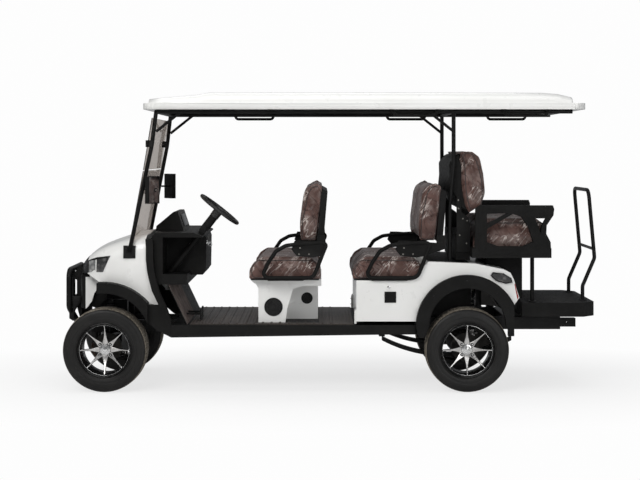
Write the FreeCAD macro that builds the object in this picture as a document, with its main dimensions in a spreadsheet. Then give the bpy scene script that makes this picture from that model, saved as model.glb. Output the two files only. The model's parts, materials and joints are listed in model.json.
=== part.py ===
"""A lifted six-seat golf cart, in millimetres.

The cart stands on the ground plane with its nose towards -X, its left side
towards -Y and +Z up. The origin lies on the ground below the middle of the cart.
"""
import FreeCAD, Part
import Sketcher
import math
import os
import re

Vector = FreeCAD.Vector
document = FreeCAD.newDocument("golf_cart")
sheet = document.addObject("Spreadsheet::Sheet", "sizes")


class Size:
    """The cart's named sizes: lengths in millimetres, turns in degrees, and counts."""
    # Wheels and axles
    wheel_base = 2622
    front_axle_x = -1642
    track_wide = 1016
    axle_z = 304
    tyre_wide = 254
    tyre_shoulder = 30
    tyre_bulge = 12
    rim_seat = 186
    rim_lip = 198
    rim_wide = 216
    rim_wall = 8
    spoke_count = 8
    spoke_wide = 34
    spoke_tip_wide = 9
    spoke_thick = 12
    hub_face = 46
    hub_radius = 46
    hub_long = 50
    hub_bore = 20
    bearing_gap = 0.3
    cap_radius = 30
    cap_high = 22
    spoke_dish = 44
    tyre_bead = 2
    spindle_short = 2

    # Knuckles and steering
    kingpin_y = 350
    kingpin_radius = 18
    kingpin_high = 150
    brake_radius = 104
    brake_thick = 30
    brake_y = 408
    steer_arm = 120
    steer_arm_wide = 34
    steer_arm_thick = 14
    steer_arm_z = 235
    tie_rod_radius = 9
    tie_rod_eye = 18
    tie_rod_eye_high = 24

    # Front suspension
    arm_spread = 150
    arm_thick = 18
    arm_root_y = 222
    arm_tip_radius = 24
    tower_long = 230
    tower_wall = 40
    shock_radius = 14
    spring_radius = 34
    spring_wire = 6
    shock_top = 633
    shock_foot_y = 282
    root_drop = 2

    # Chassis frame
    rail_z = 388
    rail_high = 90
    rail_wide = 60
    middle_rail_y = 300
    front_rail_y = 160
    front_rail_x = -1790
    front_rail_end_x = -960
    middle_rail_x = -1060
    kick_x = 628
    kick_run = 110
    kick_up = 40
    rail_end_x = 1690
    cross_wide = 50
    receiver_wide = 64
    receiver_bore = 51
    receiver_long = 190
    receiver_end_x = 1862
    receiver_z = 407
    receiver_pin_radius = 8
    outrigger_wide = 40

    # Rear axle and springs
    axle_tube_radius = 38
    axle_tube_end_y = 404
    differential_radius = 102
    differential_y = 70
    motor_radius = 86
    motor_long = 230
    motor_back = 128
    motor_y = 60
    leaf_front_x = 373
    leaf_front_z = 374
    leaf_rear_x = 1330
    leaf_rear_z = 375
    leaf_thick = 30
    leaf_wide = 50
    leaf_y = 305
    leaf_eye = 22
    rear_shock_radius = 15
    rear_spring_radius = 36
    rear_shock_foot_x = 1036
    rear_shock_top_x = 1090
    rear_shock_top_z = 749
    rear_shock_y = 256
    rear_shock_foot_z = 319
    shock_lug_long = 44
    shock_lug_high = 24
    shock_post = 15
    shock_cap = 10
    drum_lap = 4
    motor_up = 4
    spring_seat = 2

    # Battery
    battery_x = 200
    battery_long = 404
    battery_wide = 520
    battery_high = 262

    # Floor
    floor_x = -1160
    floor_end_x = 604
    floor_top = 486
    floor_wide = 1200
    floor_skin = 8
    sill_drop = 66
    sill_front_drop = 90
    sill_thick = 30
    toe_run = 137
    toe_high = 288
    toe_x = -1055
    toe_thick = 8
    toe_wide = 1112
    mat_thick = 7
    mat_margin = 22
    mat_rib = 5
    mat_rib_wide = 14
    mat_rib_step = 62
    pedal_wide = 70
    pedal_high = 80
    pedal_thick = 10
    brake_pedal_y = -330
    drive_pedal_y = -190
    pedal_z = 500
    pedal_off = 90
    pedal_stem = 7

    # Front body
    cowl_x = -1862
    cowl_long = 612
    cowl_z = 584
    cowl_high = 581
    cowl_wide = 1150
    cowl_wall = 6
    nose_half = 372
    nose_side_long = 104
    nose_side_high = 250
    arch_top = 795
    arch_radius = 417
    arch_x = -1645
    arch_front_x = -1694
    arch_rear_x = -1327
    arch_rear_z = 632
    arch_step_x = 86
    arch_step = 26
    flare_deep = 76
    flare_y = 556
    flare_out = 645
    liner_thick = 6
    trim_wide = 52
    trim_inner_y = 556
    trim_outer_y = 598

    # Lamps and front trim
    lamp_x = -1830
    lamp_long = 222
    lamp_z = 853
    lamp_high = 131
    lamp_out = 5
    lamp_deep = 16
    fascia_half = 250
    fascia_z = 503
    fascia_high = 414
    fascia_deep = 64
    guard_tube = 22
    guard_x = -1948
    guard_half = 300
    guard_top = 858
    guard_low = 583
    guard_foot_y = 190
    guard_foot_z = 438
    guard_bar_half = 110
    guard_bar = 13
    guard_cross_z = 638
    guard_run = 60
    tail_lamp_x = 1146
    tail_lamp_long = 158
    tail_lamp_z = 786
    tail_lamp_high = 84
    tail_lamp_deep = 16

    # Dashboard
    dash_x = -1318
    dash_long = 386
    dash_z = 823
    dash_high = 327
    dash_wide = 1080
    hood_x = -1310
    hood_long = 210
    hood_high = 140
    hood_wide = 520
    shelf_long = 225
    shelf_high = 75
    shelf_drop = 49
    shelf_start = 43
    knee_start = 90
    knee_half = 270
    visor_deep = 34

    # Steering wheel
    wheel_x = -829
    wheel_y = -330
    wheel_z = 1312
    wheel_lean_angle = 38
    wheel_radius = 178
    wheel_tube = 13
    wheel_hub = 36
    wheel_boss = 70
    wheel_spoke = 24
    wheel_spoke_thick = 9
    column_radius = 21
    column_long = 540
    collar_radius = 32
    collar_long = 90

    # Seats
    seat_z = 808
    seat_wide = 1130
    seat_long = 528
    seat_high = 168
    seat_round = 60
    front_seat_x = -604
    second_seat_x = 146
    seat_gap = 0.3
    frame_plate = 12
    back_inset = 10
    back_z = 1092
    back_high = 420
    back_thick = 132
    back_lean = 52
    front_back_x = -232
    second_back_x = 632
    loop_tube = 14.5
    loop_off = 51
    loop_x = 94
    loop_long = 471
    loop_high = 268
    loop_bend = 60
    bracket_thick = 10
    wing_out = 5

    # Front seat pod
    pod_x = -535
    pod_long = 435
    pod_wide = 960
    pod_wall = 8
    pod_lip = 50
    pod_foot_long = 196
    pod_spread = 130
    pedestal_wide = 400
    speaker_x = -425
    speaker_z = 605
    speaker_radius = 67
    speaker_lip = 2
    small_speaker_x = -183
    small_speaker_z = 642
    small_speaker_radius = 43

    # Rear body
    body_x = 178
    body_end_x = 1355
    body_wide = 1200
    body_wall = 8
    body_z = 513
    body_deck = 945
    rear_arch_radius = 372
    rear_arch_x = 978
    rear_arch_z = 479
    rear_flare_deep = 95
    rear_flare_y = 585
    rear_flare_out = 648
    rear_flare_foot = 399
    leg_gap = 1
    flap_x = 384
    flap_z = 648
    flap_long = 81
    flap_high = 80
    flap_thick = 4
    flap_pin = 3
    flap_lap = 6
    port_deep = 40
    lock_x = 411
    lock_z = 759
    lock_radius = 17
    lock_out = 4
    well_wide = 1142
    well_long = 506

    # Rear seat
    tray_x = 1012
    tray_long = 572
    tray_z = 973
    tray_high = 70
    tray_wide = 1250
    rest_thick = 50
    rest_rise = 98
    rear_seat_x = 1034
    rear_seat_long = 530
    rear_seat_top = 1254
    rear_seat_wide = 1140
    rear_back_x = 936
    rear_back_thick = 190
    rear_back_z = 1297
    rear_back_high = 446
    rear_back_wide = 1080
    shell_inset = 62
    riser_top = 1142
    box_x = 1146
    box_long = 263
    box_z = 653
    box_wide = 720
    box_wall = 8
    riser_wide = 956
    riser_x = 908
    recliner_thick = 10
    riser_gap = 2

    # Footplate and grab bar
    plate_x = 1390
    plate_long = 540
    plate_wide = 980
    plate_top = 638
    plate_skin = 8
    plate_drop = 104
    plate_corner = 90
    grab_tube = 14
    grab_half = 300
    grab_kink_x = 1866
    grab_kink_z = 743
    grab_mid_x = 1955
    grab_mid_z = 950
    grab_top_x = 1910
    grab_top_z = 1455
    grab_cross_z = 1017
    grab_bend = 60
    strut_x = 1474
    strut_y = 420
    strut_radius = 15

    # Canopy
    roof_x = -1371
    roof_end_x = 1844
    roof_z = 2047
    roof_wide = 1224
    roof_rim = 44
    roof_corner = 90
    crown_x = -1330
    crown_end_x = 1752
    crown_high = 92
    crown_wide = 1150
    roof_skin = 10
    cavity_wide = 900
    post_tube = 15
    post_top_y = 510
    post_foot_x = -1464
    post_foot_y = 588
    post_foot_z = 1013
    post_top_x = -1279
    rear_post_x = 889
    rear_post_foot_x = 860
    rear_post_y = 505
    rear_post_bend_z = 1493
    brace_low = 145
    brace_run = 182
    base_long = 88
    base_high = 92
    handle_tube = 10.5
    handle_drop = 46
    handle_long = 330
    handle_y = 560
    handle_front_x = -776
    handle_middle_x = 440
    handle_rear_x = 1246
    pane_foot_x = -1466
    pane_foot_z = 1073
    pane_split_x = -1368
    pane_split_z = 1603
    pane_top_x = -1305
    pane_top_z = 1985
    pane_thick = 5
    pane_wide = 1140
    pane_gap = 6
    clip_z = 1773
    clip_high = 50
    clip_wide = 50
    mirror_x = -1350
    mirror_y = 560
    mirror_z = 1365
    mirror_high = 198
    mirror_wide = 110
    mirror_thick = 36
    mirror_turn_angle = 40
    stalk_back = 4
    stalk_in = 12


names = [name for name in vars(Size) if not name.startswith("_")]
for row, name in enumerate(names, 1):
    sheet.set(f"A{row}", name)
    sheet.set(f"B{row}", str(getattr(Size, name)))
    sheet.setAlias(f"B{row}", name)
document.recompute()


def value(text):
    """The number that an expression in the sheet's names comes to."""
    return float(sheet.evalExpression(text))


def bound(text):
    """The same expression with the sheet's name before each Size."""
    return re.sub(r"[a-z]\w*", lambda word: f"sizes.{word.group()}" if word.group() in names
                  else word.group(), text)


def spread(shares, start, long, foot, high):
    """Outline corners at shares of a length and a height, each with its own bend if it has one."""
    corners = []
    for across, up, *bend in shares:
        corners.append((f"{start} + {across} * ({long})", f"{foot} + {up} * ({high})", *bend))
    return corners


def origin_plane(body, role):
    return next(plane for plane in body.Origin.OriginFeatures if plane.Role == role)


def outline(body, name, role, corners, start):
    """A closed sketch whose corners are (across, up) or (across, up, bend radius)."""
    sketch = body.newObject("Sketcher::SketchObject", name)
    sketch.AttachmentSupport = [(origin_plane(body, role), "")]
    sketch.MapMode = "FlatFace"
    side = "-1" if role == "XZ_Plane" else "1"
    sketch.AttachmentOffset = FreeCAD.Placement(Vector(0, 0, 1), FreeCAD.Rotation())
    sketch.setExpression("AttachmentOffset.Base.z", bound(f"{side} * ({start})"))
    spots = [Vector(value(corner[0]), value(corner[1]), 0) for corner in corners]
    bends = [value(corner[2]) if len(corner) > 2 else 0 for corner in corners]
    count = len(spots)
    ends = []
    for index, spot in enumerate(spots):
        back = (spots[index - 1] - spot).normalize()
        on = (spots[(index + 1) % count] - spot).normalize()
        half = back.getAngle(on) / 2
        run = bends[index] / math.tan(half)
        ends.append((spot + back * run, spot + on * run, (back + on), half, back.cross(on).z))
    for index in range(count):
        line = Part.LineSegment(ends[index][1], ends[(index + 1) % count][0])
        sketch.addGeometry(line, False)
    rules = []
    bindings = []

    def rule(text, kind, *where):
        bindings.append((len(rules), text))
        rules.append(Sketcher.Constraint(kind, *where, value(text)))

    for index, (spot, bend) in enumerate(zip(spots, bends)):
        last = (index - 1) % count
        if not bend:
            rules.append(Sketcher.Constraint("Coincident", last, 2, index, 1))
            rule(corners[index][0], "DistanceX", -1, 1, index, 1)
            rule(corners[index][1], "DistanceY", -1, 1, index, 1)
            continue
        first, second, middle, half, turn = ends[index]
        centre = spot + middle.normalize() * (bend / math.sin(half))
        begin, finish = (first, second) if turn < 0 else (second, first)
        angles = [math.atan2(end.y - centre.y, end.x - centre.x) for end in (begin, finish)]
        circle = Part.Circle(centre, Vector(0, 0, 1), bend)
        arc = sketch.addGeometry(Part.ArcOfCircle(circle, *angles), False)
        point = sketch.addGeometry(Part.Point(spot), True)
        near, far = (1, 2) if turn < 0 else (2, 1)
        rules.append(Sketcher.Constraint("Tangent", last, 2, arc, near))
        rules.append(Sketcher.Constraint("Tangent", arc, far, index, 1))
        rules.append(Sketcher.Constraint("PointOnObject", point, 1, last))
        rules.append(Sketcher.Constraint("PointOnObject", point, 1, index))
        rule(corners[index][2], "Radius", arc)
        rule(corners[index][0], "DistanceX", -1, 1, point, 1)
        rule(corners[index][1], "DistanceY", -1, 1, point, 1)
    sketch.addConstraint(rules)
    for number, text in bindings:
        sketch.setExpression(f"Constraints[{number}]", bound(text))
    return sketch


def new_body(label):
    body = document.addObject("PartDesign::Body", label)
    body.AllowCompound = True
    return body


def pad(body, name, role, corners, start, length, cut=False):
    """Extrude an outline from a start coordinate towards +X, +Y or +Z, or cut it away."""
    sketch = outline(body, f"{name}_outline", role, corners, start)
    feature = body.newObject("PartDesign::Pocket" if cut else "PartDesign::Pad", name)
    feature.Profile = sketch
    feature.setExpression("Length", bound(length))
    feature.Reversed = (role == "XZ_Plane") != cut
    body.Tip = feature
    return feature


def across(body, name, corners, width, cut=False):
    """Extrude a side outline over a width that is centred on the cart."""
    return pad(body, name, "XZ_Plane", corners, f"0 - ({width}) / 2", width, cut)


def mirror(body, *features):
    """Repeat features on the cart's other side."""
    feature = body.newObject("PartDesign::Mirrored", f"{features[0].Name}_mirrored")
    feature.Originals = list(features)
    feature.MirrorPlane = (origin_plane(body, "XZ_Plane"), [""])
    body.Tip = feature
    return feature


def rectangle(left, low, long, high, bend=None):
    corners = [(left, low), (f"{left} + {long}", low), (f"{left} + {long}", f"{low} + {high}"),
               (left, f"{low} + {high}")]
    return [(*corner, bend) for corner in corners] if bend else corners


def place(feature, x, y, z):
    for axis, text in zip("xyz", (x, y, z)):
        feature.setExpression(f".Placement.Base.{axis}", bound(text))


def block(name, x, y, z, long, wide, high):
    """A box whose corner with the lowest coordinates is at x, y, z."""
    feature = document.addObject("Part::Box", name)
    feature.setExpression("Length", bound(long))
    feature.setExpression("Width", bound(wide))
    feature.setExpression("Height", bound(high))
    place(feature, x, y, z)
    return feature


TURNS = {"X": FreeCAD.Rotation(Vector(0, 1, 0), 90), "Y": FreeCAD.Rotation(Vector(1, 0, 0), -90),
         "Z": FreeCAD.Rotation()}


def rod(name, axis, x, y, z, radius, length):
    """A cylinder that runs from x, y, z along one of the cart's axes."""
    feature = document.addObject("Part::Cylinder", name)
    feature.Placement = FreeCAD.Placement(Vector(), TURNS[axis])
    feature.setExpression("Radius", bound(radius))
    feature.setExpression("Height", bound(length))
    place(feature, x, y, z)
    return feature


def solid(name, shape):
    """Keep a shape that was built in code."""
    feature = document.addObject("Part::Feature", name)
    feature.Shape = shape
    return feature


def join(name, *pieces):
    feature = document.addObject("Part::MultiFuse", name)
    feature.Shapes = list(pieces)
    return feature


def gather(name, *pieces):
    """Keep pieces that don't touch as one sub-part."""
    feature = document.addObject("Part::Compound", name)
    feature.Links = list(pieces)
    return feature


def cut(name, piece, tool):
    feature = document.addObject("Part::Cut", name)
    feature.Base = piece
    feature.Tool = tool
    return feature


def reflect(piece):
    """The same piece on the cart's other side."""
    feature = document.addObject("Part::Mirroring", f"{piece.Name}_right")
    feature.Source = piece
    feature.Base = Vector()
    feature.Normal = Vector(0, 1, 0)
    return feature


def bent_path(points, bend):
    """Straight runs joined by tangent arcs, each bend kept inside its two runs."""
    edges = []
    last = points[0]
    for before, corner, after in zip(points, points[1:], points[2:]):
        back = before - corner
        on = after - corner
        room = 0.45 * min(back.Length, on.Length)
        back.normalize()
        on.normalize()
        half = back.getAngle(on) / 2
        run = min(bend / math.tan(half), room)
        radius = run * math.tan(half)
        inward = (back + on).normalize()
        centre = corner + inward * (radius / math.sin(half))
        start = corner + back * run
        finish = corner + on * run
        edges.append(Part.LineSegment(last, start).toShape())
        edges.append(Part.Arc(start, centre - inward * radius, finish).toShape())
        last = finish
    if (points[-1] - last).Length > 0:
        edges.append(Part.LineSegment(last, points[-1]).toShape())
    return Part.Wire(edges)


def bar(points, radius, bend):
    """A round bar along a bent path."""
    path = bent_path(points, bend)
    ring = Part.Wire(Part.Circle(points[0], points[1] - points[0], radius).toShape())
    return path.makePipeShell([ring], True, False)


def ring_bar(points, radius, bend):
    """A round bar bent into a closed loop, made as two halves that meet in two straight runs."""
    first = (points[0] + points[1]) * 0.5
    turn = len(points) // 2
    second = (points[turn] + points[turn + 1]) * 0.5
    halves = [bar([first, *points[1:turn + 1], second], radius, bend),
              bar([second, *points[turn + 1:], points[0], first], radius, bend)]
    return halves[0].fuse(halves[1]).removeSplitter()


def side_points(shares, start, long, foot, high, y):
    return [Vector(start + a * long, y, foot + b * high) for a, b in shares]


def slab(points, y, wide):
    """A side outline of straight runs, extruded from y over a width."""
    wire = Part.makePolygon([Vector(x, y, z) for x, z in points + points[:1]])
    return Part.Face(wire).extrude(Vector(0, wide, 0))


def arch_profile(x, z, radius, thick, start_x, end_x):
    """The band between two arcs about one centre, cut off between two stations."""
    outer = Part.makeCylinder(radius, Size.track_wide, Vector(x, 0, z), Vector(0, 1, 0))
    inner = Part.makeCylinder(radius - thick, Size.track_wide, Vector(x, 0, z), Vector(0, 1, 0))
    keep = Part.makeBox(end_x - start_x, Size.track_wide, radius * 2, Vector(start_x, 0, z))
    return outer.cut(inner).common(keep)


# Axles and wheels
AXLES = {"front": "front_axle_x", "rear": "front_axle_x + wheel_base"}
SIDES = {"left": -1, "right": 1}


def turned(body, name, corners):
    """Turn an outline, given as distance along the axle and radius, about the Y axis."""
    sketch = outline(body, f"{name}_outline", "YZ_Plane", corners, "0")
    feature = body.newObject("PartDesign::Revolution", name)
    feature.Profile = sketch
    feature.ReferenceAxis = (sketch, ["H_Axis"])
    feature.Angle = 360
    body.Tip = feature
    return feature


def seat_wheel(body, end, side):
    """Place a wheel piece that was made about the origin, its outside towards +Y."""
    turn = 180 if side < 0 else 0
    body.Placement = FreeCAD.Placement(Vector(), FreeCAD.Rotation(Vector(0, 0, 1), turn))
    place(body, AXLES[end], f"{side} * track_wide / 2", "axle_z")


def make_tyre(end, hand, side):
    body = new_body(f"{end}_tyre_{hand}")
    seat = "rim_seat + bearing_gap"
    lip = "rim_lip + bearing_gap"
    half = "tyre_wide / 2"
    wall = "rim_wide / 2 - rim_wall"
    turned(body, f"{end}_{hand}_carcass", [
        (f"0 - ({wall})", lip), (f"0 - ({wall})", seat), (wall, seat), (wall, lip),
        (f"{half} - tyre_bead", "rim_seat + 3 * tyre_bulge"),
        (half, "axle_z - tyre_shoulder - 3 * tyre_bulge"),
        (f"{half} - tyre_bulge", "axle_z - tyre_shoulder / 2"),
        (f"{half} - tyre_shoulder", "axle_z"), (f"tyre_shoulder - {half}", "axle_z"),
        (f"tyre_bulge - {half}", "axle_z - tyre_shoulder / 2"),
        (f"0 - {half}", "axle_z - tyre_shoulder - 3 * tyre_bulge"),
        (f"tyre_bead - {half}", "rim_seat + 3 * tyre_bulge")])
    seat_wheel(body, end, side)
    return body


def make_rim(end, hand, side):
    """A deep barrel with eight pointed spokes from a hub to its outer lip."""
    body = new_body(f"{end}_rim_{hand}")
    half = "rim_wide / 2"
    inner = "rim_seat - rim_wall"
    turned(body, f"{end}_{hand}_barrel", [
        (f"0 - {half}", inner), (half, inner), (half, "rim_lip"), (f"{half} - rim_wall", "rim_lip"),
        (f"{half} - rim_wall", "rim_seat"), (f"rim_wall - {half}", "rim_seat"),
        (f"rim_wall - {half}", "rim_lip"), (f"0 - {half}", "rim_lip")])
    turned(body, f"{end}_{hand}_hub", [
        ("hub_face - hub_long", "hub_bore"), ("hub_face - hub_long", "hub_radius"),
        ("hub_face + spoke_thick", "hub_radius"), ("hub_face + spoke_thick", "cap_radius"),
        ("hub_face + cap_high", "cap_radius * 0.8"), ("hub_face + cap_high", "0"),
        ("hub_face", "0"), ("hub_face", "hub_bore")])
    foot = outline(body, f"{end}_{hand}_spoke_foot", "XY_Plane",
                   rectangle("0 - spoke_wide / 2", "hub_face", "spoke_wide", "spoke_thick"),
                   "hub_radius - rim_wall")
    tip = outline(body, f"{end}_{hand}_spoke_tip", "XY_Plane",
                  rectangle("0 - spoke_tip_wide / 2", "hub_face + spoke_dish", "spoke_tip_wide",
                            "spoke_thick"), "rim_seat - rim_wall / 2")
    spoke = body.newObject("PartDesign::AdditiveLoft", f"{end}_{hand}_spoke")
    spoke.Profile = foot
    spoke.Sections = [tip]
    spoke.Ruled = True
    pattern = body.newObject("PartDesign::PolarPattern", f"{end}_{hand}_spokes")
    pattern.Originals = [spoke]
    pattern.Axis = (origin_axis(body, "Y_Axis"), [""])
    pattern.Angle = 360
    pattern.setExpression("Occurrences", bound("spoke_count"))
    body.Tip = pattern
    seat_wheel(body, end, side)
    return body


def origin_axis(body, role):
    return next(axis for axis in body.Origin.OriginFeatures if axis.Role == role)


wheels = {}
for end in AXLES:
    for hand, side in SIDES.items():
        wheels[end, hand] = (make_tyre(end, hand, side), make_rim(end, hand, side))


# Knuckles and the rod that joins them
def make_knuckle(hand, side):
    """Upright, spindle, brake plate and steering arm of one front wheel."""
    x = AXLES["front"]
    y = f"{side} * kingpin_y"
    name = f"knuckle_{hand}"
    upright = rod(f"{name}_upright", "Z", x, y, "axle_z - kingpin_high / 2", "kingpin_radius",
                  "kingpin_high")
    reach = "(track_wide / 2 + hub_face - kingpin_y - spindle_short)"
    spindle_y = y if side > 0 else f"{y} - {reach}"
    spindle = rod(f"{name}_spindle", "Y", x, spindle_y, "axle_z", "hub_bore - bearing_gap", reach)
    brake_y = "brake_y" if side > 0 else "0 - brake_y - brake_thick"
    brake = rod(f"{name}_brake", "Y", x, brake_y, "axle_z", "brake_radius", "brake_thick")
    boss_y = y if side > 0 else "0 - brake_y"
    boss = rod(f"{name}_boss", "Y", x, boss_y, "axle_z", "kingpin_radius * 1.6",
               "brake_y - kingpin_y")
    arm = block(f"{name}_arm", x, f"{y} - steer_arm_wide / 2", "steer_arm_z", "steer_arm",
                "steer_arm_wide", "steer_arm_thick")
    eye = rod(f"{name}_eye", "Z", f"{x} + steer_arm", y, "steer_arm_z", "steer_arm_wide / 2",
              "steer_arm_thick")
    return join(name, upright, spindle, boss, brake, arm, eye)


def make_tie_rod():
    """The rod lies just above the two steering arms, its eyes open at their pins."""
    x = f"{AXLES['front']} + steer_arm"
    z = "steer_arm_z + steer_arm_thick + bearing_gap"
    middle = rod("tie_rod_middle", "Y", x, "0 - kingpin_y", f"{z} + tie_rod_eye_high / 2",
                 "tie_rod_radius", "2 * kingpin_y")
    eyes = [rod(f"tie_rod_eye_{hand}", "Z", x, f"{side} * kingpin_y", z, "tie_rod_eye",
                "tie_rod_eye_high") for hand, side in SIDES.items()]
    return join("tie_rod", middle, *eyes)


knuckles = {hand: make_knuckle(hand, side) for hand, side in SIDES.items()}
tie_rod = make_tie_rod()


# Frame
def make_frame():
    """Two narrow front rails, two main rails that kick up at the rear, and what joins them."""
    body = new_body("rails")
    rear = "(rail_z + kick_up)"
    front = pad(body, "front_rail", "XZ_Plane",
                rectangle("front_rail_x", "rail_z", "front_rail_end_x - front_rail_x",
                          "rail_high"), "front_rail_y", "rail_wide")
    main = pad(body, "main_rail", "XZ_Plane", [
        ("middle_rail_x", "rail_z"), ("kick_x", "rail_z"), ("kick_x + kick_run", rear),
        ("rail_end_x", rear), ("rail_end_x", f"{rear} + rail_high"),
        ("kick_x + kick_run", f"{rear} + rail_high"), ("kick_x", "rail_z + rail_high"),
        ("middle_rail_x", "rail_z + rail_high")], "middle_rail_y", "rail_wide")
    mirror(body, front, main)
    pieces = [body]

    def member(x, half, z, wide="cross_wide", high="rail_high"):
        name = f"cross_member_{len(pieces)}"
        pieces.append(block(name, x, f"0 - ({half})", z, wide, f"2 * ({half})", high))

    def pair(name, x, y, z, long, wide, high):
        left = block(name, x, f"0 - ({y}) - ({wide})", z, long, wide, high)
        pieces.extend([left, reflect(left)])

    outer = "middle_rail_y + rail_wide / 2"
    member("front_rail_x", "front_rail_y + rail_wide / 2", "rail_z")
    for x in ("middle_rail_x", "pod_x", "body_x"):
        member(x, outer, "rail_z")
    for x in ("leaf_rear_x - cross_wide", "rail_end_x - cross_wide"):
        member(x, outer, rear)
    axle = AXLES["front"]
    low = "(axle_z - kingpin_high / 2 - arm_thick - root_drop)"
    member(f"{axle} - arm_spread / 2", "arm_root_y", low, "arm_spread", f"rail_z - {low}")
    pair("shock_tower", f"{axle} - tower_long / 2", "front_rail_y", "rail_z", "tower_long",
         "arm_root_y - front_rail_y", "shock_top - rail_z")
    top = "rear_shock_top_z"
    pair("shock_post", "rear_shock_top_x - leaf_eye",
         "rear_shock_y + rear_spring_radius + shock_cap", f"{rear} + rail_high / 2",
         "2 * leaf_eye", "shock_post", f"{top} + shock_cap - {rear} - rail_high / 2")
    pair("shock_cap", "rear_shock_top_x - leaf_eye", "rear_shock_y - leaf_eye", top,
         "2 * leaf_eye", "leaf_eye + rear_spring_radius + shock_cap + shock_post", "shock_cap")
    pair("front_hanger", "leaf_front_x - leaf_eye", "leaf_y", "leaf_front_z", "2 * leaf_eye",
         "leaf_wide", "rail_z - leaf_front_z + rail_high / 2")
    pair("rear_hanger", "leaf_rear_x - leaf_eye", "leaf_y", "leaf_rear_z", "2 * leaf_eye",
         "leaf_wide", f"{rear} - leaf_rear_z + rail_high / 2")
    for number, x in enumerate(("middle_rail_x + cross_wide", "pod_x + pod_long",
                                "kick_x - 2 * cross_wide")):
        pair(f"outrigger_{number}", x, "middle_rail_y", "rail_z + rail_high / 2",
             "outrigger_wide", "floor_wide / 2 - sill_thick - middle_rail_y",
             "rail_high / 2 - 0.5 * bearing_gap")
    pieces.append(block("receiver", "rail_end_x - cross_wide", "0 - receiver_wide / 2",
                        "receiver_z", "receiver_end_x - rail_end_x + cross_wide",
                        "receiver_wide", "receiver_wide"))
    steel = join("frame_steel", *pieces)
    inset = "(receiver_wide - receiver_bore) / 2"
    socket = block("receiver_socket", "receiver_end_x - receiver_long",
                   "0 - receiver_bore / 2", f"receiver_z + {inset}", "2 * receiver_long",
                   "receiver_bore", "receiver_bore")
    pin = rod("receiver_pin", "Y", "receiver_end_x - receiver_wide", "0 - receiver_wide",
              "receiver_z + receiver_wide / 2", "receiver_pin_radius", "2 * receiver_wide")
    return cut("chassis_frame", steel, join("receiver_holes", socket, pin))


frame = make_frame()


def make_front_suspension():
    """A lower and an upper wishbone, a coil over shock and its two mounts on each side."""
    x = Size.front_axle_x
    half = Size.arm_spread / 2
    arms = []
    low = Size.axle_z - Size.kingpin_high / 2
    for z in (low - Size.arm_thick - Size.bearing_gap,
              low + Size.kingpin_high + Size.bearing_gap):
        corners = [Vector(x - half, Size.arm_root_y, z), Vector(x + half, Size.arm_root_y, z),
                   Vector(x + Size.arm_tip_radius * 0.8, Size.kingpin_y, z),
                   Vector(x - Size.arm_tip_radius * 0.8, Size.kingpin_y, z)]
        plate = Part.Face(Part.makePolygon(corners + corners[:1]))
        plate = plate.extrude(Vector(0, 0, Size.arm_thick))
        tip = Part.makeCylinder(Size.arm_tip_radius, Size.arm_thick, Vector(x, Size.kingpin_y, z))
        arms.append(plate.fuse(tip))
    foot = Vector(x, Size.shock_foot_y, low)
    top = Vector(x, Size.arm_root_y + Size.spring_radius + Size.root_drop, Size.shock_top)
    axis = top - foot
    shock = Part.makeCylinder(Size.shock_radius, axis.Length, foot, axis)
    spring = Part.makeCylinder(Size.spring_radius, axis.Length * 0.42, foot + axis * 0.5, axis)
    hole = Part.makeCylinder(Size.spring_radius + Size.spring_wire, axis.Length * 2,
                             foot - axis * 0.5, axis)
    mount = Part.makeBox(Size.tower_wall, Size.spring_radius * 2, Size.arm_thick,
                         Vector(x - Size.tower_wall / 2, Size.arm_root_y,
                                Size.shock_top - Size.arm_thick))
    shape = arms[0].fuse([shock, spring, mount, arms[1].cut(hole)])
    left = solid("front_suspension_left", shape.mirror(Vector(), Vector(0, 1, 0)))
    return gather("front_suspension", left, reflect(left))


front_suspension = make_front_suspension()


def make_rear_axle():
    x = AXLES["rear"]
    tube = rod("axle_tube", "Y", x, "0 - axle_tube_end_y", "axle_z", "axle_tube_radius",
               "2 * axle_tube_end_y")
    spindle = rod("axle_shaft", "Y", x, "spindle_short - track_wide / 2 - hub_face",
                  "axle_z", "hub_bore - bearing_gap",
                  "track_wide + 2 * hub_face - 2 * spindle_short")
    drums = [rod(f"rear_drum_{hand}", "Y", x,
                 "brake_y - drum_lap" if side > 0 else "drum_lap - brake_y - brake_thick", "axle_z",
                 "brake_radius", "brake_thick") for hand, side in SIDES.items()]
    case = document.addObject("Part::Sphere", "differential")
    case.setExpression("Radius", bound("differential_radius"))
    place(case, x, "differential_y", "axle_z")
    motor = rod("motor", "Y", f"{x} + motor_back", "motor_y - motor_long / 2", "axle_z + motor_up",
                "motor_radius", "motor_long")
    gear = block("gearcase", x, "motor_y - motor_radius", "axle_z - motor_radius * 0.8",
                 "motor_back", "motor_radius", "motor_radius * 1.6")
    pads = [block(f"spring_seat_{hand}", f"{x} - leaf_wide",
                  "leaf_y" if side > 0 else "0 - leaf_y - leaf_wide",
                  "axle_z - axle_tube_radius - spring_seat", "2 * leaf_wide", "leaf_wide",
                  "axle_tube_radius + spring_seat") for hand, side in SIDES.items()]
    lugs = [block(f"shock_lug_{hand}", f"{x} + axle_tube_radius / 2",
                  f"{side} * rear_shock_y - rear_shock_radius",
                  "rear_shock_foot_z - shock_lug_high", "axle_tube_radius / 2 + shock_lug_long",
                  "2 * rear_shock_radius", "shock_lug_high") for hand, side in SIDES.items()]
    return join("rear_axle", tube, spindle, case, motor, gear, *drums, *pads, *lugs)


rear_axle = make_rear_axle()


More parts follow.
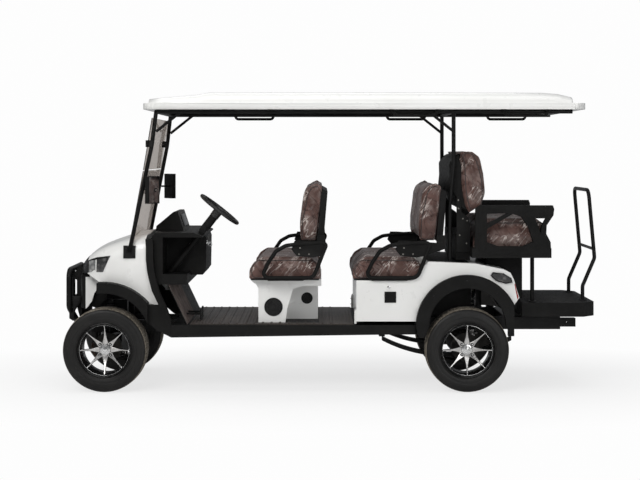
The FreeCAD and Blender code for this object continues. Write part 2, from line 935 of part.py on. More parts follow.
def make_rear_suspension():
    """A leaf spring under the axle and a shock with its spring beside each wheel."""
    middle_x = Size.front_axle_x + Size.wheel_base
    seat = Size.axle_z - Size.axle_tube_radius - Size.spring_seat
    lift = Size.leaf_thick

    def through(rise):
        return Part.Arc(Vector(Size.leaf_front_x, Size.leaf_y, Size.leaf_front_z - lift + rise),
                        Vector(middle_x, Size.leaf_y, seat - lift + rise),
                        Vector(Size.leaf_rear_x, Size.leaf_y, Size.leaf_rear_z - lift + rise))
    top = through(lift).toShape()
    under = through(0).toShape()
    ends = [Part.LineSegment(a.Vertexes[i].Point, b.Vertexes[i].Point).toShape()
            for a, b, i in ((top, under, 0), (top, under, 1))]
    wire = Part.Wire(Part.__sortEdges__([top, ends[0], under, ends[1]]))
    leaf = Part.Face(wire).extrude(Vector(0, Size.leaf_wide, 0))
    seat_box = Part.makeBox(2.4 * Size.leaf_wide, Size.leaf_wide, Size.leaf_thick,
                            Vector(middle_x - 1.2 * Size.leaf_wide, Size.leaf_y, seat))
    leaf = leaf.cut(seat_box)
    foot = Vector(Size.rear_shock_foot_x, Size.rear_shock_y, Size.rear_shock_foot_z)
    top = Vector(Size.rear_shock_top_x, Size.rear_shock_y, Size.rear_shock_top_z)
    axis = top - foot
    shock = Part.makeCylinder(Size.rear_shock_radius, axis.Length * 1.2, foot - axis * 0.1, axis)
    spring = Part.makeCylinder(Size.rear_spring_radius, axis.Length * 0.4, foot + axis * 0.64,
                               axis)
    room = Part.makeBox(axis.Length, axis.Length, axis.z,
                        foot - Vector(axis.Length / 2, axis.Length / 2, 0))
    shape = Part.Compound([leaf, shock.fuse(spring).common(room)])
    left = solid("rear_suspension_left", shape.mirror(Vector(), Vector(0, 1, 0)))
    return gather("rear_suspension", left, reflect(left))


rear_suspension = make_rear_suspension()
battery = block("battery_pack", "battery_x", "0 - battery_wide / 2", "floor_top", "battery_long",
                "battery_wide", "battery_high")


# Floor
def make_floor():
    body = new_body("floor_pan")
    pad(body, "floor_plate", "XY_Plane",
        rectangle("floor_x", "0 - floor_wide / 2", "floor_end_x - floor_x", "floor_wide"),
        "floor_top - floor_skin", "floor_skin")
    sill = pad(body, "sill", "XZ_Plane", [
        ("floor_x", "floor_top - sill_front_drop"), ("floor_end_x", "floor_top - sill_drop"),
        ("floor_end_x", "floor_top"), ("floor_x", "floor_top")],
        "0 - floor_wide / 2", "sill_thick")
    mirror(body, sill)
    across(body, "toe_board", [
        ("toe_x", "floor_top"), ("toe_x + toe_thick", "floor_top"),
        ("toe_x + toe_thick - toe_run", "floor_top + toe_high"),
        ("toe_x - toe_run", "floor_top + toe_high")], "toe_wide")
    return body


floor_pan = make_floor()


def make_mat():
    """A ribbed mat that stops short of the sills, the toe board and the seat pod."""
    body = new_body("floor_mat")
    start = "toe_x + toe_thick + mat_margin"
    long = f"(body_x - mat_margin - ({start}))"
    pad(body, "mat_plate", "XY_Plane",
        rectangle(start, "mat_margin - floor_wide / 2", long, "floor_wide - 2 * mat_margin"),
        "floor_top", "mat_thick")
    rib = pad(body, "mat_ribs", "XY_Plane",
              rectangle(f"{start} + mat_margin", "2 * mat_margin - floor_wide / 2",
                        "mat_rib_wide", "floor_wide - 4 * mat_margin"),
              "floor_top + mat_thick", "mat_rib")
    pattern = body.newObject("PartDesign::LinearPattern", "mat_rib_row")
    pattern.Originals = [rib]
    pattern.Direction = (origin_axis(body, "X_Axis"), [""])
    pattern.Mode = "Spacing"
    pattern.setExpression("Offset", bound("mat_rib_step"))
    pattern.Occurrences = int((value(long) - 3 * Size.mat_margin) // Size.mat_rib_step)
    body.Tip = pattern
    hole = "mat_margin / 4"
    pad(body, "mat_around_pod", "XY_Plane",
        rectangle(f"pod_x - {hole}", f"0 - pod_wide / 2 - {hole}",
                  f"pod_long + 2 * {hole}", f"pod_wide + 2 * {hole}"),
        "floor_top", "2 * mat_thick + mat_rib", cut=True)
    return body


floor_mat = make_mat()


def make_pedals():
    """Two hanging pedals on stems that stand off the toe board."""
    pieces = []
    for name, y in (("brake", "brake_pedal_y"), ("drive", "drive_pedal_y")):
        x = "toe_x - toe_run * (pedal_z - floor_top) / toe_high + pedal_off"
        plate = block(f"{name}_pedal_plate", x, f"{y} - pedal_wide / 2", "pedal_z", "pedal_thick",
                      "pedal_wide", "pedal_high")
        stem = rod(f"{name}_pedal_stem", "X",
                   "toe_x + toe_thick / 2 - toe_run * (pedal_z + pedal_high / 2 - floor_top)"
                   " / toe_high", y, "pedal_z + pedal_high / 2", "pedal_stem",
                   "pedal_off + pedal_thick + toe_thick")
        pieces.append(join(f"{name}_pedal", plate, stem))
    pair = cut("pedals_clear", gather("pedal_pair", *pieces), floor_pan)
    pair.Label = "pedals"
    return pair


pedals = make_pedals()


# Front body
# Each station: share of the length, of the half width, of the height at the middle and of the
# height of the shoulder.
COWL_SHARES = [(0, 0.52, 0.535, 0.44), (0.045, 0.66, 0.62, 0.53), (0.12, 0.79, 0.70, 0.61),
               (0.22, 0.88, 0.77, 0.68), (0.40, 0.95, 0.85, 0.77), (0.60, 0.985, 0.92, 0.84),
               (0.80, 1, 0.965, 0.89), (1, 1, 1, 0.92)]


def cowl_section(station, wall):
    """A crowned section across the cowl, open below by the wall when it is an inner one."""
    along, half_share, top_share, shoulder_share = station
    x = Size.cowl_x + along * Size.cowl_long
    half = Size.cowl_wide / 2 * half_share - wall
    top = Size.cowl_z + top_share * Size.cowl_high - wall
    shoulder = Size.cowl_z + shoulder_share * Size.cowl_high - wall
    foot = Size.cowl_z - wall
    side = [Vector(x, half * 0.96, foot), Vector(x, half, (foot + shoulder) / 2),
            Vector(x, half * 0.95, shoulder), Vector(x, half * 0.62, (2 * top + shoulder) / 3)]
    points = side + [Vector(x, 0, top)] + [Vector(x, -p.y, p.z) for p in reversed(side)]
    curve = Part.BSplineCurve()
    curve.interpolate(points)
    base = Part.LineSegment(points[-1], points[0])
    return Part.Wire([curve.toShape(), base.toShape()])


def cowl_form(wall):
    sections = [cowl_section(station, wall) for station in COWL_SHARES]
    if wall:
        sections[0].translate(Vector(wall, 0, 0))
        sections[-1].translate(Vector(wall, 0, 0))
    return Part.makeLoft(sections, True, False)


def cowl_rear_points():
    """The curved edge where the cowl's side ends, from its top down to its foot."""
    shares = [(0.84, 0.9), (0.846, 0.8), (0.846, 0.65), (0.862, 0.49), (0.89, 0.365),
              (0.92, 0.25), (0.995, 0.083)]
    return [(Size.cowl_x + a * Size.cowl_long, Size.cowl_z + b * Size.cowl_high)
            for a, b in shares]


def arch_tool():
    """What the front wheel takes out of the cowl beyond the nose."""
    far = Size.cowl_x - Size.cowl_wide
    lower = Size.cowl_z - Size.cowl_high
    foot = math.sqrt(Size.arch_radius ** 2 - (Size.arch_front_x - Size.arch_x) ** 2)
    centre_z = Size.arch_top - Size.arch_radius
    points = [Vector(far, 0, centre_z + 1.13 * foot),
              Vector(Size.cowl_x + Size.arch_step_x, 0, centre_z + 1.13 * foot),
              Vector(Size.arch_front_x - Size.arch_step, 0, centre_z + 1.04 * foot),
              Vector(Size.arch_front_x, 0, centre_z + foot)]
    reach = Size.arch_rear_x - Size.arch_x
    rear = Vector(Size.arch_rear_x, 0, centre_z + math.sqrt(Size.arch_radius ** 2 - reach ** 2))
    turn = math.asin(reach / Size.arch_radius) / 2
    middle = Vector(Size.arch_x + Size.arch_radius * math.sin(turn), 0,
                    centre_z + Size.arch_radius * math.cos(turn))
    edges = [Part.LineSegment(a, b).toShape() for a, b in zip(points, points[1:])]
    edges.append(Part.Arc(points[-1], middle, rear).toShape())
    corners = [rear, Vector(rear.x, 0, lower), Vector(far, 0, lower), points[0]]
    edges += [Part.LineSegment(a, b).toShape() for a, b in zip(corners, corners[1:])]
    return Part.Face(Part.Wire(edges)).extrude(Vector(0, Size.cowl_wide, 0))


NOSE_SHARES = [(0.02, 0.12), (0.12, 0), (0.4, 0), (0.77, 0.2), (0.95, 0.44), (1.23, 0.6),
               (1.23, 1), (0, 1), (0, 0.3)]


def make_cowl():
    """A moulded shell, cut for the wheels and behind the curved pillar line."""
    outer = cowl_form(0)
    shell = outer.cut(cowl_form(Size.cowl_wall))
    wheel = arch_tool()
    for side in (1, -1):
        tool = wheel.copy()
        tool.translate(Vector(0, Size.nose_half, 0))
        if side < 0:
            tool = tool.mirror(Vector(), Vector(0, 1, 0))
        shell = shell.cut(tool)
    edge = cowl_rear_points()
    far = Size.cowl_x + 2 * Size.cowl_long
    behind = [(edge[0][0], Size.cowl_z + 2 * Size.cowl_high)] + edge
    behind += [(far, edge[-1][1]), (far, behind[0][1])]
    shell = shell.cut(slab(behind, -Size.cowl_wide, 2 * Size.cowl_wide))
    foot = Part.makeBox(3 * Size.cowl_long, 2 * Size.cowl_wide, Size.arch_rear_z,
                        Vector(Size.arch_x, -Size.cowl_wide, 0))
    shell = shell.cut(foot)
    start = Size.cowl_x + Size.cowl_wall * 2
    for side in (1, -1):
        y = side * Size.nose_half - (Size.cowl_wall if side > 0 else 0)
        wall = slab([(start + a * Size.nose_side_long, Size.cowl_z + b * Size.nose_side_high)
                     for a, b in NOSE_SHARES], y, Size.cowl_wall)
        shell = shell.fuse(wall.common(outer))
    return solid("front_cowl", shell.removeSplitter())


cowl = make_cowl()


def both_sides(shape):
    """A shape that was made on the right side, and the same on the left."""
    return Part.Compound([shape, shape.mirror(Vector(), Vector(0, 1, 0))])


def make_lamps():
    """Headlights that follow the cowl's own curve, one on each side of the nose."""
    shares = [(0.0, 0.10), (0.10, 0.60), (0.33, 0.78), (0.55, 0.90), (1, 1), (0.95, 0.82),
              (0.76, 0.1), (0.54, 0.08), (0.46, 0.2), (0.34, 0.06), (0.16, 0)]
    points = [(Size.lamp_x + a * Size.lamp_long, Size.lamp_z + b * Size.lamp_high)
              for a, b in shares]
    window = slab(points, Size.cowl_wide * 0.12, Size.cowl_wide)
    skin = cowl_form(-Size.lamp_out).cut(cowl_form(Size.lamp_deep))
    return window.common(skin)


lamp = make_lamps()
headlights = solid("headlights", both_sides(lamp))
cowl.Shape = cowl.Shape.cut(both_sides(lamp))


def make_fascia():
    shares = [(1, 0), (1, 0.96), (0.62, 0.94), (0.55, 0.9), (0, 0.77), (0, 0.71), (0.55, 0.66),
              (0.55, 0.5), (0.32, 0.4), (0.45, 0.16), (0.75, 0)]
    body = new_body("front_fascia")
    across(body, "fascia", spread(shares, "cowl_x - fascia_deep", "fascia_deep", "fascia_z",
                                  "fascia_high"), "2 * fascia_half")
    return body


fascia = make_fascia()


def make_guard():
    """A tube hoop before the nose with a cross tube and two short uprights."""
    side = [Vector(Size.front_rail_x, -Size.guard_foot_y, Size.guard_foot_z),
            Vector(Size.guard_x + Size.guard_run, -Size.guard_foot_y, Size.guard_foot_z),
            Vector(Size.guard_x, -Size.guard_half, Size.guard_low),
            Vector(Size.guard_x, -Size.guard_half, Size.guard_top)]
    other = [Vector(p.x, -p.y, p.z) for p in reversed(side)]
    hoop = bar(side + other, Size.guard_tube, Size.guard_tube * 3)
    cross = Part.makeCylinder(Size.guard_bar, 2 * Size.guard_half,
                              Vector(Size.guard_x, -Size.guard_half, Size.guard_cross_z),
                              Vector(0, 1, 0))
    bars = [Part.makeCylinder(Size.guard_bar, Size.guard_top - Size.guard_cross_z,
                              Vector(Size.guard_x, y, Size.guard_cross_z))
            for y in (-Size.guard_bar_half, Size.guard_bar_half)]
    return solid("brush_guard", hoop.fuse([cross] + bars))


guard = make_guard()


def make_flares():
    """Black arch bands that stand out from the body, with thin liners behind them."""
    def band(x, z, radius, thick, start, end, inner, outer):
        shape = arch_profile(x, z, radius, thick, start, end)
        keep = Part.makeBox(4 * radius, outer - inner, 4 * radius,
                            Vector(x - 2 * radius, inner, z - 2 * radius))
        return shape.common(keep)
    z = Size.arch_top - Size.arch_radius
    front = band(Size.arch_x, z, Size.arch_radius, Size.flare_deep, Size.arch_front_x,
                 Size.arch_rear_x, Size.flare_y, Size.flare_out)
    liner = band(Size.arch_x, z, Size.arch_radius - Size.flare_deep + Size.liner_thick,
                 Size.liner_thick, Size.arch_front_x, Size.arch_x + 0.6 * Size.arch_radius,
                 Size.nose_half + Size.cowl_wall, Size.flare_y)
    rear = band(Size.rear_arch_x, Size.rear_arch_z, Size.rear_arch_radius,
                Size.rear_flare_deep, Size.rear_arch_x - Size.rear_arch_radius,
                Size.rear_arch_x + 0.9 * Size.rear_arch_radius, Size.rear_flare_y,
                Size.rear_flare_out)
    inner = Size.rear_arch_radius - Size.rear_flare_deep
    rear_liner = band(Size.rear_arch_x, Size.rear_arch_z, inner + Size.liner_thick,
                      Size.liner_thick, Size.rear_arch_x - inner - Size.liner_thick,
                      Size.rear_arch_x + 0.9 * inner, Size.track_wide / 2 - Size.tyre_wide / 2,
                      Size.rear_flare_y)
    start = Size.rear_arch_x - Size.rear_arch_radius
    leg = slab([(start, Size.rear_arch_z), (start + Size.rear_flare_deep, Size.rear_arch_z),
                (start + 0.6 * Size.rear_flare_deep, Size.rear_flare_foot),
                (start + 0.25 * Size.rear_flare_deep, Size.rear_flare_foot)],
               Size.floor_wide / 2 + Size.leg_gap,
               Size.rear_flare_out - Size.floor_wide / 2 - Size.leg_gap)
    pieces = Part.Compound([front.fuse(liner), rear.fuse([rear_liner, leg])])
    return solid("wheel_arch_flares", both_sides(pieces))


flares = make_flares()


def make_trim():
    """The black pillar strip behind the cowl and the panel below it, down to the sill."""
    edge = cowl_rear_points()
    back = [(x + Size.trim_wide, z) for x, z in reversed(edge)]
    strip = slab(edge + back, Size.trim_inner_y, Size.trim_outer_y - Size.trim_inner_y)
    low = Size.floor_top - Size.sill_front_drop
    panel = slab([(Size.arch_rear_x, Size.arch_rear_z),
                  (edge[-1][0] + Size.trim_wide, edge[-1][1]),
                  (Size.floor_x, Size.floor_top + 0.6 * Size.trim_wide), (Size.floor_x, low),
                  (Size.floor_x - 2 * Size.trim_wide, low + Size.trim_wide),
                  (Size.arch_rear_x - 0.3 * Size.trim_wide, Size.floor_top + 0.6 * Size.trim_wide)],
                 Size.trim_inner_y, Size.trim_outer_y - Size.trim_inner_y)
    shape = strip.fuse(panel).cut(flares.Shape).removeSplitter()
    return solid("cowl_trim", both_sides(shape))


trim = make_trim()


DASH_SHARES = [(0, 0), (0.04, 0.55), (0, 0.86), (0.08, 1), (0.8, 1), (0.97, 0.93), (1, 0.82),
               (0.99, 0.1), (0.93, 0)]
HOOD_SHARES = [(0, 0), (0.02, 0.25), (0.62, 1), (0.78, 1), (1, 0)]


def make_dashboard():
    """The dash with its hood and visor, open for the knees above a shelf on both sides."""
    points = [(Size.dash_x + a * Size.dash_long, Size.dash_z + b * Size.dash_high)
              for a, b in DASH_SHARES]
    shape = slab(points, -Size.dash_wide / 2, Size.dash_wide)
    top = Size.dash_z + Size.dash_high
    hood = slab([(Size.hood_x + a * Size.hood_long, top + b * Size.hood_high)
                 for a, b in HOOD_SHARES], -Size.hood_wide / 2, Size.hood_wide)
    shelf = Part.makeBox(Size.shelf_long, Size.dash_wide, Size.shelf_high,
                         Vector(Size.dash_x + Size.shelf_start, -Size.dash_wide / 2,
                                Size.dash_z - Size.shelf_drop))
    shape = shape.fuse([hood, shelf])
    low = Size.dash_z - Size.shelf_drop + Size.shelf_high
    for side in (-1, 1):
        y = Size.knee_half if side > 0 else -Size.knee_half - Size.dash_wide
        shape = shape.cut(Part.makeBox(Size.dash_long, Size.dash_wide,
                                       top - Size.visor_deep - low,
                                       Vector(Size.dash_x + Size.knee_start, y, low)))
        under = Part.makeBox(Size.dash_long, Size.dash_wide, Size.shelf_high,
                             Vector(Size.dash_x + Size.shelf_start + Size.shelf_long, y,
                                    low - Size.shelf_high))
        shape = shape.cut(under)
    return shape


lean = math.radians(Size.wheel_lean_angle)
wheel_axis = Vector(math.sin(lean), 0, math.cos(lean))
wheel_centre = Vector(Size.wheel_x, Size.wheel_y, Size.wheel_z)


def make_column():
    start = wheel_centre - wheel_axis * (Size.wheel_boss + Size.bearing_gap)
    shaft = Part.makeCylinder(Size.column_radius, Size.column_long, start, wheel_axis * -1)
    collar = Part.makeCylinder(Size.collar_radius, Size.collar_long, start, wheel_axis * -1)
    return solid("steering_column", shaft.fuse(collar))


column = make_column()
dashboard = solid("dashboard", make_dashboard().cut(column.Shape).cut(cowl.Shape).cut(trim.Shape))


def make_steering_wheel():
    """A rim, three flat spokes and a boss about the column's axis."""
    rim = Part.makeTorus(Size.wheel_radius - Size.wheel_tube, Size.wheel_tube)
    boss = Part.makeCone(Size.column_radius + Size.wheel_tube, Size.wheel_hub, Size.wheel_boss,
                         Vector(0, 0, -Size.wheel_boss))
    shape = rim.fuse(boss)
    for turn in (0, 120, 240):
        spoke = Part.makeBox(Size.wheel_radius - Size.wheel_tube, Size.wheel_spoke,
                             Size.wheel_spoke_thick,
                             Vector(0, -Size.wheel_spoke / 2, -Size.wheel_spoke_thick))
        shape = shape.fuse(spoke.rotate(Vector(), Vector(0, 0, 1), turn + 90))
    feature = solid("steering_wheel", shape)
    feature.Placement = FreeCAD.Placement(wheel_centre, FreeCAD.Rotation(Vector(0, 0, 1),
                                                                         wheel_axis))
    return feature


steering_wheel = make_steering_wheel()


# Seats
def make_pod():
    """The moulded box under the front seat, hollow and open below, with its speaker holes."""
    body = new_body("front_seat_pod")
    top = "seat_z"
    under = "seat_z - pod_lip"
    foot_end = "pod_x + pod_foot_long"
    across(body, "pod", [
        ("pod_x", "floor_top"), (foot_end, "floor_top"),
        (f"{foot_end} + 0.12 * pod_spread", "floor_top + 0.55 * pod_foot_long"),
        (f"{foot_end} + 0.45 * pod_spread", f"{under} - 0.4 * pod_lip"),
        (f"{foot_end} + pod_spread", under), ("pod_x + pod_long + pod_lip / 2", under),
        ("pod_x + pod_long + pod_lip / 2", top), ("pod_x - 1.1 * pod_lip", top),
        ("pod_x - pod_lip", f"{top} - 0.3 * pod_lip"),
        ("pod_x - 0.3 * pod_lip", f"{top} - 0.8 * pod_lip"),
        ("pod_x", f"{under} - 0.3 * pod_lip")], "pod_wide")
    across(body, "pedestal", rectangle("pod_x + pod_foot_long / 2", "floor_top",
                                       "pod_long - pod_foot_long / 2",
                                       "seat_z - pod_lip - floor_top"), "pedestal_wide")
    across(body, "pod_hollow", rectangle("pod_x + pod_wall", "floor_top",
                                         "pod_foot_long - 2 * pod_wall",
                                         "seat_z - pod_lip / 2 - floor_top"),
           "pod_wide - 2 * pod_wall", cut=True)
    across(body, "pedestal_hollow", rectangle("pod_x + pod_foot_long / 2", "floor_top",
                                              "pod_long - pod_foot_long / 2 - pod_wall",
                                              "seat_z - pod_lip / 2 - floor_top"),
           "pedestal_wide - 2 * pod_wall", cut=True)
    holes = [rod("speaker_hole", "Y", "speaker_x", "0 - pod_wide", "speaker_z",
                 "speaker_radius", "2 * pod_wide"),
             rod("small_speaker_hole", "Y", "small_speaker_x", "0 - pedestal_wide",
                 "small_speaker_z", "small_speaker_radius", "2 * pedestal_wide")]
    body.Label = "pod_moulding"
    return cut("front_seat_pod_shell", body, join("speaker_holes", *holes))


pod = make_pod()
pod.Label = "front_seat_pod"


def make_speakers():
    """A round grille in each of the pod's four holes."""
    pieces = []
    for name, x, z, radius, face in (
            ("door", "speaker_x", "speaker_z", "speaker_radius", "pod_wide / 2"),
            ("foot", "small_speaker_x", "small_speaker_z", "small_speaker_radius",
             "pedestal_wide / 2")):
        left = rod(f"{name}_speaker", "Y", x, f"0 - ({face}) - speaker_lip", z, radius,
                   "pod_wall + speaker_lip")
        pieces += [left, reflect(left)]
    return gather("speakers", *pieces)


speakers = make_speakers()
BACK_SHARES = [(0, 0), (0, 0.33), (0.16, 0.755), (0.39, 0.95), (0.63, 1), (0.885, 0.9), (0.69, 0)]
SHELL_SHARES = [(0.69, 0), (0.885, 0.9), (1.1, 0.85), (0.94, 0)]
LOOP_SHARES = [(0, 0), (0.8, 0), (0.97, 0.8), (1, 0.93), (0.94, 1), (0.6, 0.96), (0.38, 0.91),
               (0.23, 0.76), (0.11, 0.43)]
BRACKET_SHARES = [(0.9, 0.587), (0.795, 0.55), (0.541, 0.594), (0.463, 0.766), (0.512, 1),
                  (0.62, 1)]


def make_cushion(name, x, top_gap="seat_gap"):
    body = new_body(name)
    across(body, f"{name}_form", [
        (f"{x} + 0.04 * seat_long", f"seat_z + frame_plate + {top_gap}"),
        (x, "seat_z + frame_plate + 0.45 * seat_high", "seat_round"),
        (f"{x} + 0.1 * seat_long", "seat_z + seat_high", "seat_round"),
        (f"{x} + 0.92 * seat_long", "seat_z + seat_high", "seat_round"),
        (f"{x} + seat_long", "seat_z + frame_plate + 0.45 * seat_high", "seat_round / 2"),
        (f"{x} + 0.97 * seat_long", f"seat_z + frame_plate + {top_gap}")], "seat_wide")
    return body


def make_back(name, x):
    body = new_body(name)
    across(body, f"{name}_form", spread(BACK_SHARES, x, "back_thick + back_lean", "back_z",
                                        "back_high"), "seat_wide - 2 * back_inset")
    return body


def make_seat_frame(name, seat_x, back_x):
    """Base plate, armrest loops with their brackets, and the back's shell, welded together."""
    plate_top = Size.seat_z + Size.frame_plate
    loop_y = Size.seat_wide / 2 + Size.loop_off
    back_half = Size.seat_wide / 2 - Size.back_inset
    plate = Part.makeBox(Size.seat_long * 0.94, Size.seat_wide, Size.frame_plate,
                         Vector(seat_x + 0.03 * Size.seat_long, -Size.seat_wide / 2,
                                Size.seat_z))
    deep = Size.back_thick + Size.back_lean
    shell = slab([(back_x + a * deep, Size.back_z + b * Size.back_high)
                  for a, b in SHELL_SHARES], -back_half, 2 * back_half)
    pieces = [shell]
    foot = plate_top + 0.6 * Size.loop_tube
    for side in (-1, 1):
        y = side * loop_y
        points = side_points(LOOP_SHARES, seat_x + Size.loop_x, Size.loop_long, foot,
                             Size.loop_high - Size.frame_plate, y)
        pieces.append(ring_bar(points, Size.loop_tube, Size.loop_bend))
        wing_y = loop_y + Size.wing_out
        wing = Part.makeBox(Size.loop_long * 0.55, wing_y - Size.seat_wide / 2, Size.frame_plate,
                            Vector(seat_x + Size.loop_x + 0.1 * Size.loop_long,
                                   Size.seat_wide / 2 if side > 0 else -wing_y, Size.seat_z))
        pin_x = back_x + 0.84 * deep
        pin_z = Size.back_z + Size.loop_bend / 2
        top = foot + Size.loop_high
        rear = seat_x + Size.loop_x + Size.loop_long
        inner = y - Size.bracket_thick / 2
        reach = max(rear, pin_x + Size.loop_tube * 2)
        bracket = slab([(seat_x + Size.loop_x + a * Size.loop_long, foot + b * Size.loop_high)
                        for a, b in BRACKET_SHARES]
                       + [(pin_x - Size.loop_tube * 2, top - Size.loop_tube),
                          (pin_x - Size.loop_tube * 2, pin_z + Size.loop_tube),
                          (pin_x + Size.loop_tube * 2, pin_z + Size.loop_tube),
                          (reach, top - Size.loop_bend)],
                       inner, Size.bracket_thick)
        pin = Part.makeCylinder(Size.loop_tube * 0.8, loop_y - back_half,
                                Vector(pin_x, side * back_half, pin_z),
                                Vector(0, side, 0))
        pieces += [wing, bracket, pin]
    return solid(name, plate.fuse(pieces))


front_cushion = make_cushion("front_seat_cushion", "front_seat_x")
second_cushion = make_cushion("second_seat_cushion", "second_seat_x")
front_back = make_back("front_backrest", "front_back_x")
second_back = make_back("second_backrest", "second_back_x")
front_seat_frame = make_seat_frame("front_seat_frame", Size.front_seat_x, Size.front_back_x)
second_seat_frame = make_seat_frame("second_seat_frame", Size.second_seat_x, Size.second_back_x)


# Rear body
BODY_SHARES = [(0, 0), (0, 0.6828), (0.335, 0.6828), (0.442, 1), (0.728, 0.968), (0.902, 0.873),
               (0.946, 0.813), (0.968, 0.692), (0.983, 0.544), (1, 0.394), (0.965, 0.26),
               (0.955, 0)]
WELL_SHARES = [(0.335, 0.664), (0.335, 0.6828), (0.442, 1), (0.442, 0.664)]


def make_rear_body():
    """The moulded body under the second row, open below, behind and at the wheels."""
    body = new_body("body_moulding")
    long = "body_end_x - body_x"
    high = "body_deck - body_z"
    across(body, "body_form", spread(BODY_SHARES, "body_x", long, "body_z", high), "body_wide")
    inner = spread(BODY_SHARES, "body_x + body_wall", f"{long} - 2 * body_wall",
                   "body_z", f"{high} - body_wall")
    across(body, "body_hollow", inner, "body_wide - 2 * body_wall", cut=True)
    across(body, "seat_well", spread(WELL_SHARES, "body_x", long, "body_z", high),
           "well_wide + 2 * body_wall")
    arch = rod("rear_arch_cut", "Y", "rear_arch_x", "0 - body_wide", "rear_arch_z",
               "rear_arch_radius", "2 * body_wide")
    opening = block("storage_opening", "box_x", "0 - box_wide / 2", "body_z", "box_long * 2",
                    "box_wide", "tray_z - body_z")
    window = block("charge_window", "flap_x + flap_lap", "0 - body_wide", "flap_z + flap_lap",
                   "flap_long - 2 * flap_lap", "body_wide - 3 * body_wall",
                   "flap_high - 2 * flap_lap")
    recess = block("seat_recess", "body_x - well_long", "0 - well_wide / 2", "seat_z",
                   "2 * well_long", "well_wide", "body_deck")
    shell = cut("body_shell", body, join("body_cuts", arch, opening, window, recess))
    port = block("charge_port", "flap_x", "body_wall / 2 - body_wide / 2", "flap_z",
                 "flap_long", "port_deep", "flap_high")
    cup = block("charge_cup", "flap_x + flap_lap", "0 - body_wide / 2", "flap_z + flap_lap",
                "flap_long - 2 * flap_lap", "port_deep", "flap_high - 2 * flap_lap")
    lock = rod("charge_lock", "Y", "lock_x", "0 - body_wide / 2 - lock_out", "lock_z",
               "lock_radius", "lock_out + body_wall")
    cupped = cut("port_cup", port, cup)
    return join("rear_body", shell, cupped, lock)


rear_body = make_rear_body()


def make_flap():
    """The charge flap laps over its window and turns about the barrel on its front edge."""
    plate = block("flap_plate", "flap_x", "0 - body_wide / 2 - bearing_gap - flap_thick",
                  "flap_z", "flap_long", "flap_thick", "flap_high")
    barrel = rod("flap_barrel", "Z", "flap_x", "0 - body_wide / 2 - bearing_gap - flap_pin",
                 "flap_z", "flap_pin", "flap_high")
    return join("charge_flap", plate, barrel)


flap = make_flap()


def make_tail_lights():
    shares = [(0, 0.7), (0.1, 1), (0.6, 0.9), (0.95, 0.5), (1, 0.1), (0.7, 0), (0.25, 0.25)]
    body = new_body("tail_light_left")
    pad(body, "tail_lens", "XZ_Plane", spread(shares, "tail_lamp_x", "tail_lamp_long",
                                              "tail_lamp_z", "tail_lamp_high"),
        "0 - body_wide / 2 - tail_lamp_deep", "tail_lamp_deep")
    return gather("tail_lights", body, reflect(body))


tail_lights = make_tail_lights()


REST_SHARES = [(0.03, 0), (0.045, 0.94), (0.09, 1), (1.02, 1), (1.035, 0.93), (1.025, 0.81),
               (0.94, 0.62), (0.935, 0.46), (0.99, 0.3), (1, 0)]
FRONT_GAP_SHARES = [(0.186, 0.64), (0.186, 0.838), (0.443, 0.854)]
MIDDLE_GAP_SHARES = [(0.186, 0.3), (0.186, 0.552), (0.514, 0.838), (0.62, 0.779),
                     (0.708, 0.591), (0.77, 0.311), (0.64, 0.22), (0.33, 0.22)]
REAR_GAP_SHARES = [(0.797, 0.752), (0.93, 0.752), (0.88, 0.62), (0.865, 0.47)]
RECLINER_SHARES = [(0.04, 0.3), (0.04, 2.4), (0.3, 2.4), (0.4, 1.8), (0.9, 1.6), (1, 1.25),
                   (1, 0.3)]
REAR_BACK_SHARES = [(0.37, 0), (0.19, 0.363), (0.135, 0.774), (0, 0.968), (0.32, 1), (0.59, 0.957),
                    (0.78, 0.81), (0.92, 0.59), (0.99, 0.32), (0.94, 0.135)]
REAR_SHELL_SHARES = [(0.37, 0), (0.19, 0.363), (0.135, 0.774), (0, 0.968), (-0.16, 0.933),
                     (-0.4, 0.81), (-0.37, 0.386), (-0.16, 0.25), (0.053, 0.067)]


def make_rear_base():
    """The rear seat's tray with its two armrests, the riser before it and the box below it."""
    body = new_body("tray_moulding")
    tray_end = "tray_x + tray_long"
    pad(body, "tray", "XY_Plane", rectangle("tray_x", "0 - tray_wide / 2", "tray_long",
                                            "tray_wide"), "tray_z", "tray_high")
    side_y = "tray_wide / 2 - rest_thick"
    high = "rear_seat_top + rest_rise - tray_z"

    def at(shares):
        return spread(shares, "tray_x", "tray_long", "tray_z", high)

    rest = pad(body, "armrest", "XZ_Plane", at(REST_SHARES), side_y, "rest_thick")
    mirror(body, rest)
    for name, shares in (("front", FRONT_GAP_SHARES), ("middle", MIDDLE_GAP_SHARES),
                         ("rear", REAR_GAP_SHARES)):
        pad(body, f"rest_gap_{name}", "XZ_Plane", at(shares), "0 - tray_wide", "2 * tray_wide",
            cut=True)
    riser = block("seat_riser", "riser_x", "0 - riser_wide / 2", "body_deck + riser_gap",
                  "tray_x - riser_x", "riser_wide", "riser_top - body_deck - riser_gap")
    recliner = new_body("recliner_plate")
    pad(recliner, "recliner", "XZ_Plane",
        spread(RECLINER_SHARES, "riser_x", "tray_x - riser_x", "body_deck + riser_gap",
               "riser_top - body_deck - riser_gap"), "riser_wide / 2", "recliner_thick")
    box = block("box_outside", "box_x", "0 - box_wide / 2", "box_z", "box_long", "box_wide",
                "tray_z - box_z")
    hollow = block("box_inside", "box_x + box_wall", "box_wall - box_wide / 2",
                   "box_z + box_wall", "box_long - 2 * box_wall", "box_wide - 2 * box_wall",
                   "tray_z - box_z - box_wall")
    return join("rear_seat_base", body, riser, recliner, reflect(recliner),
                cut("storage_box", box, hollow))


rear_base = make_rear_base()


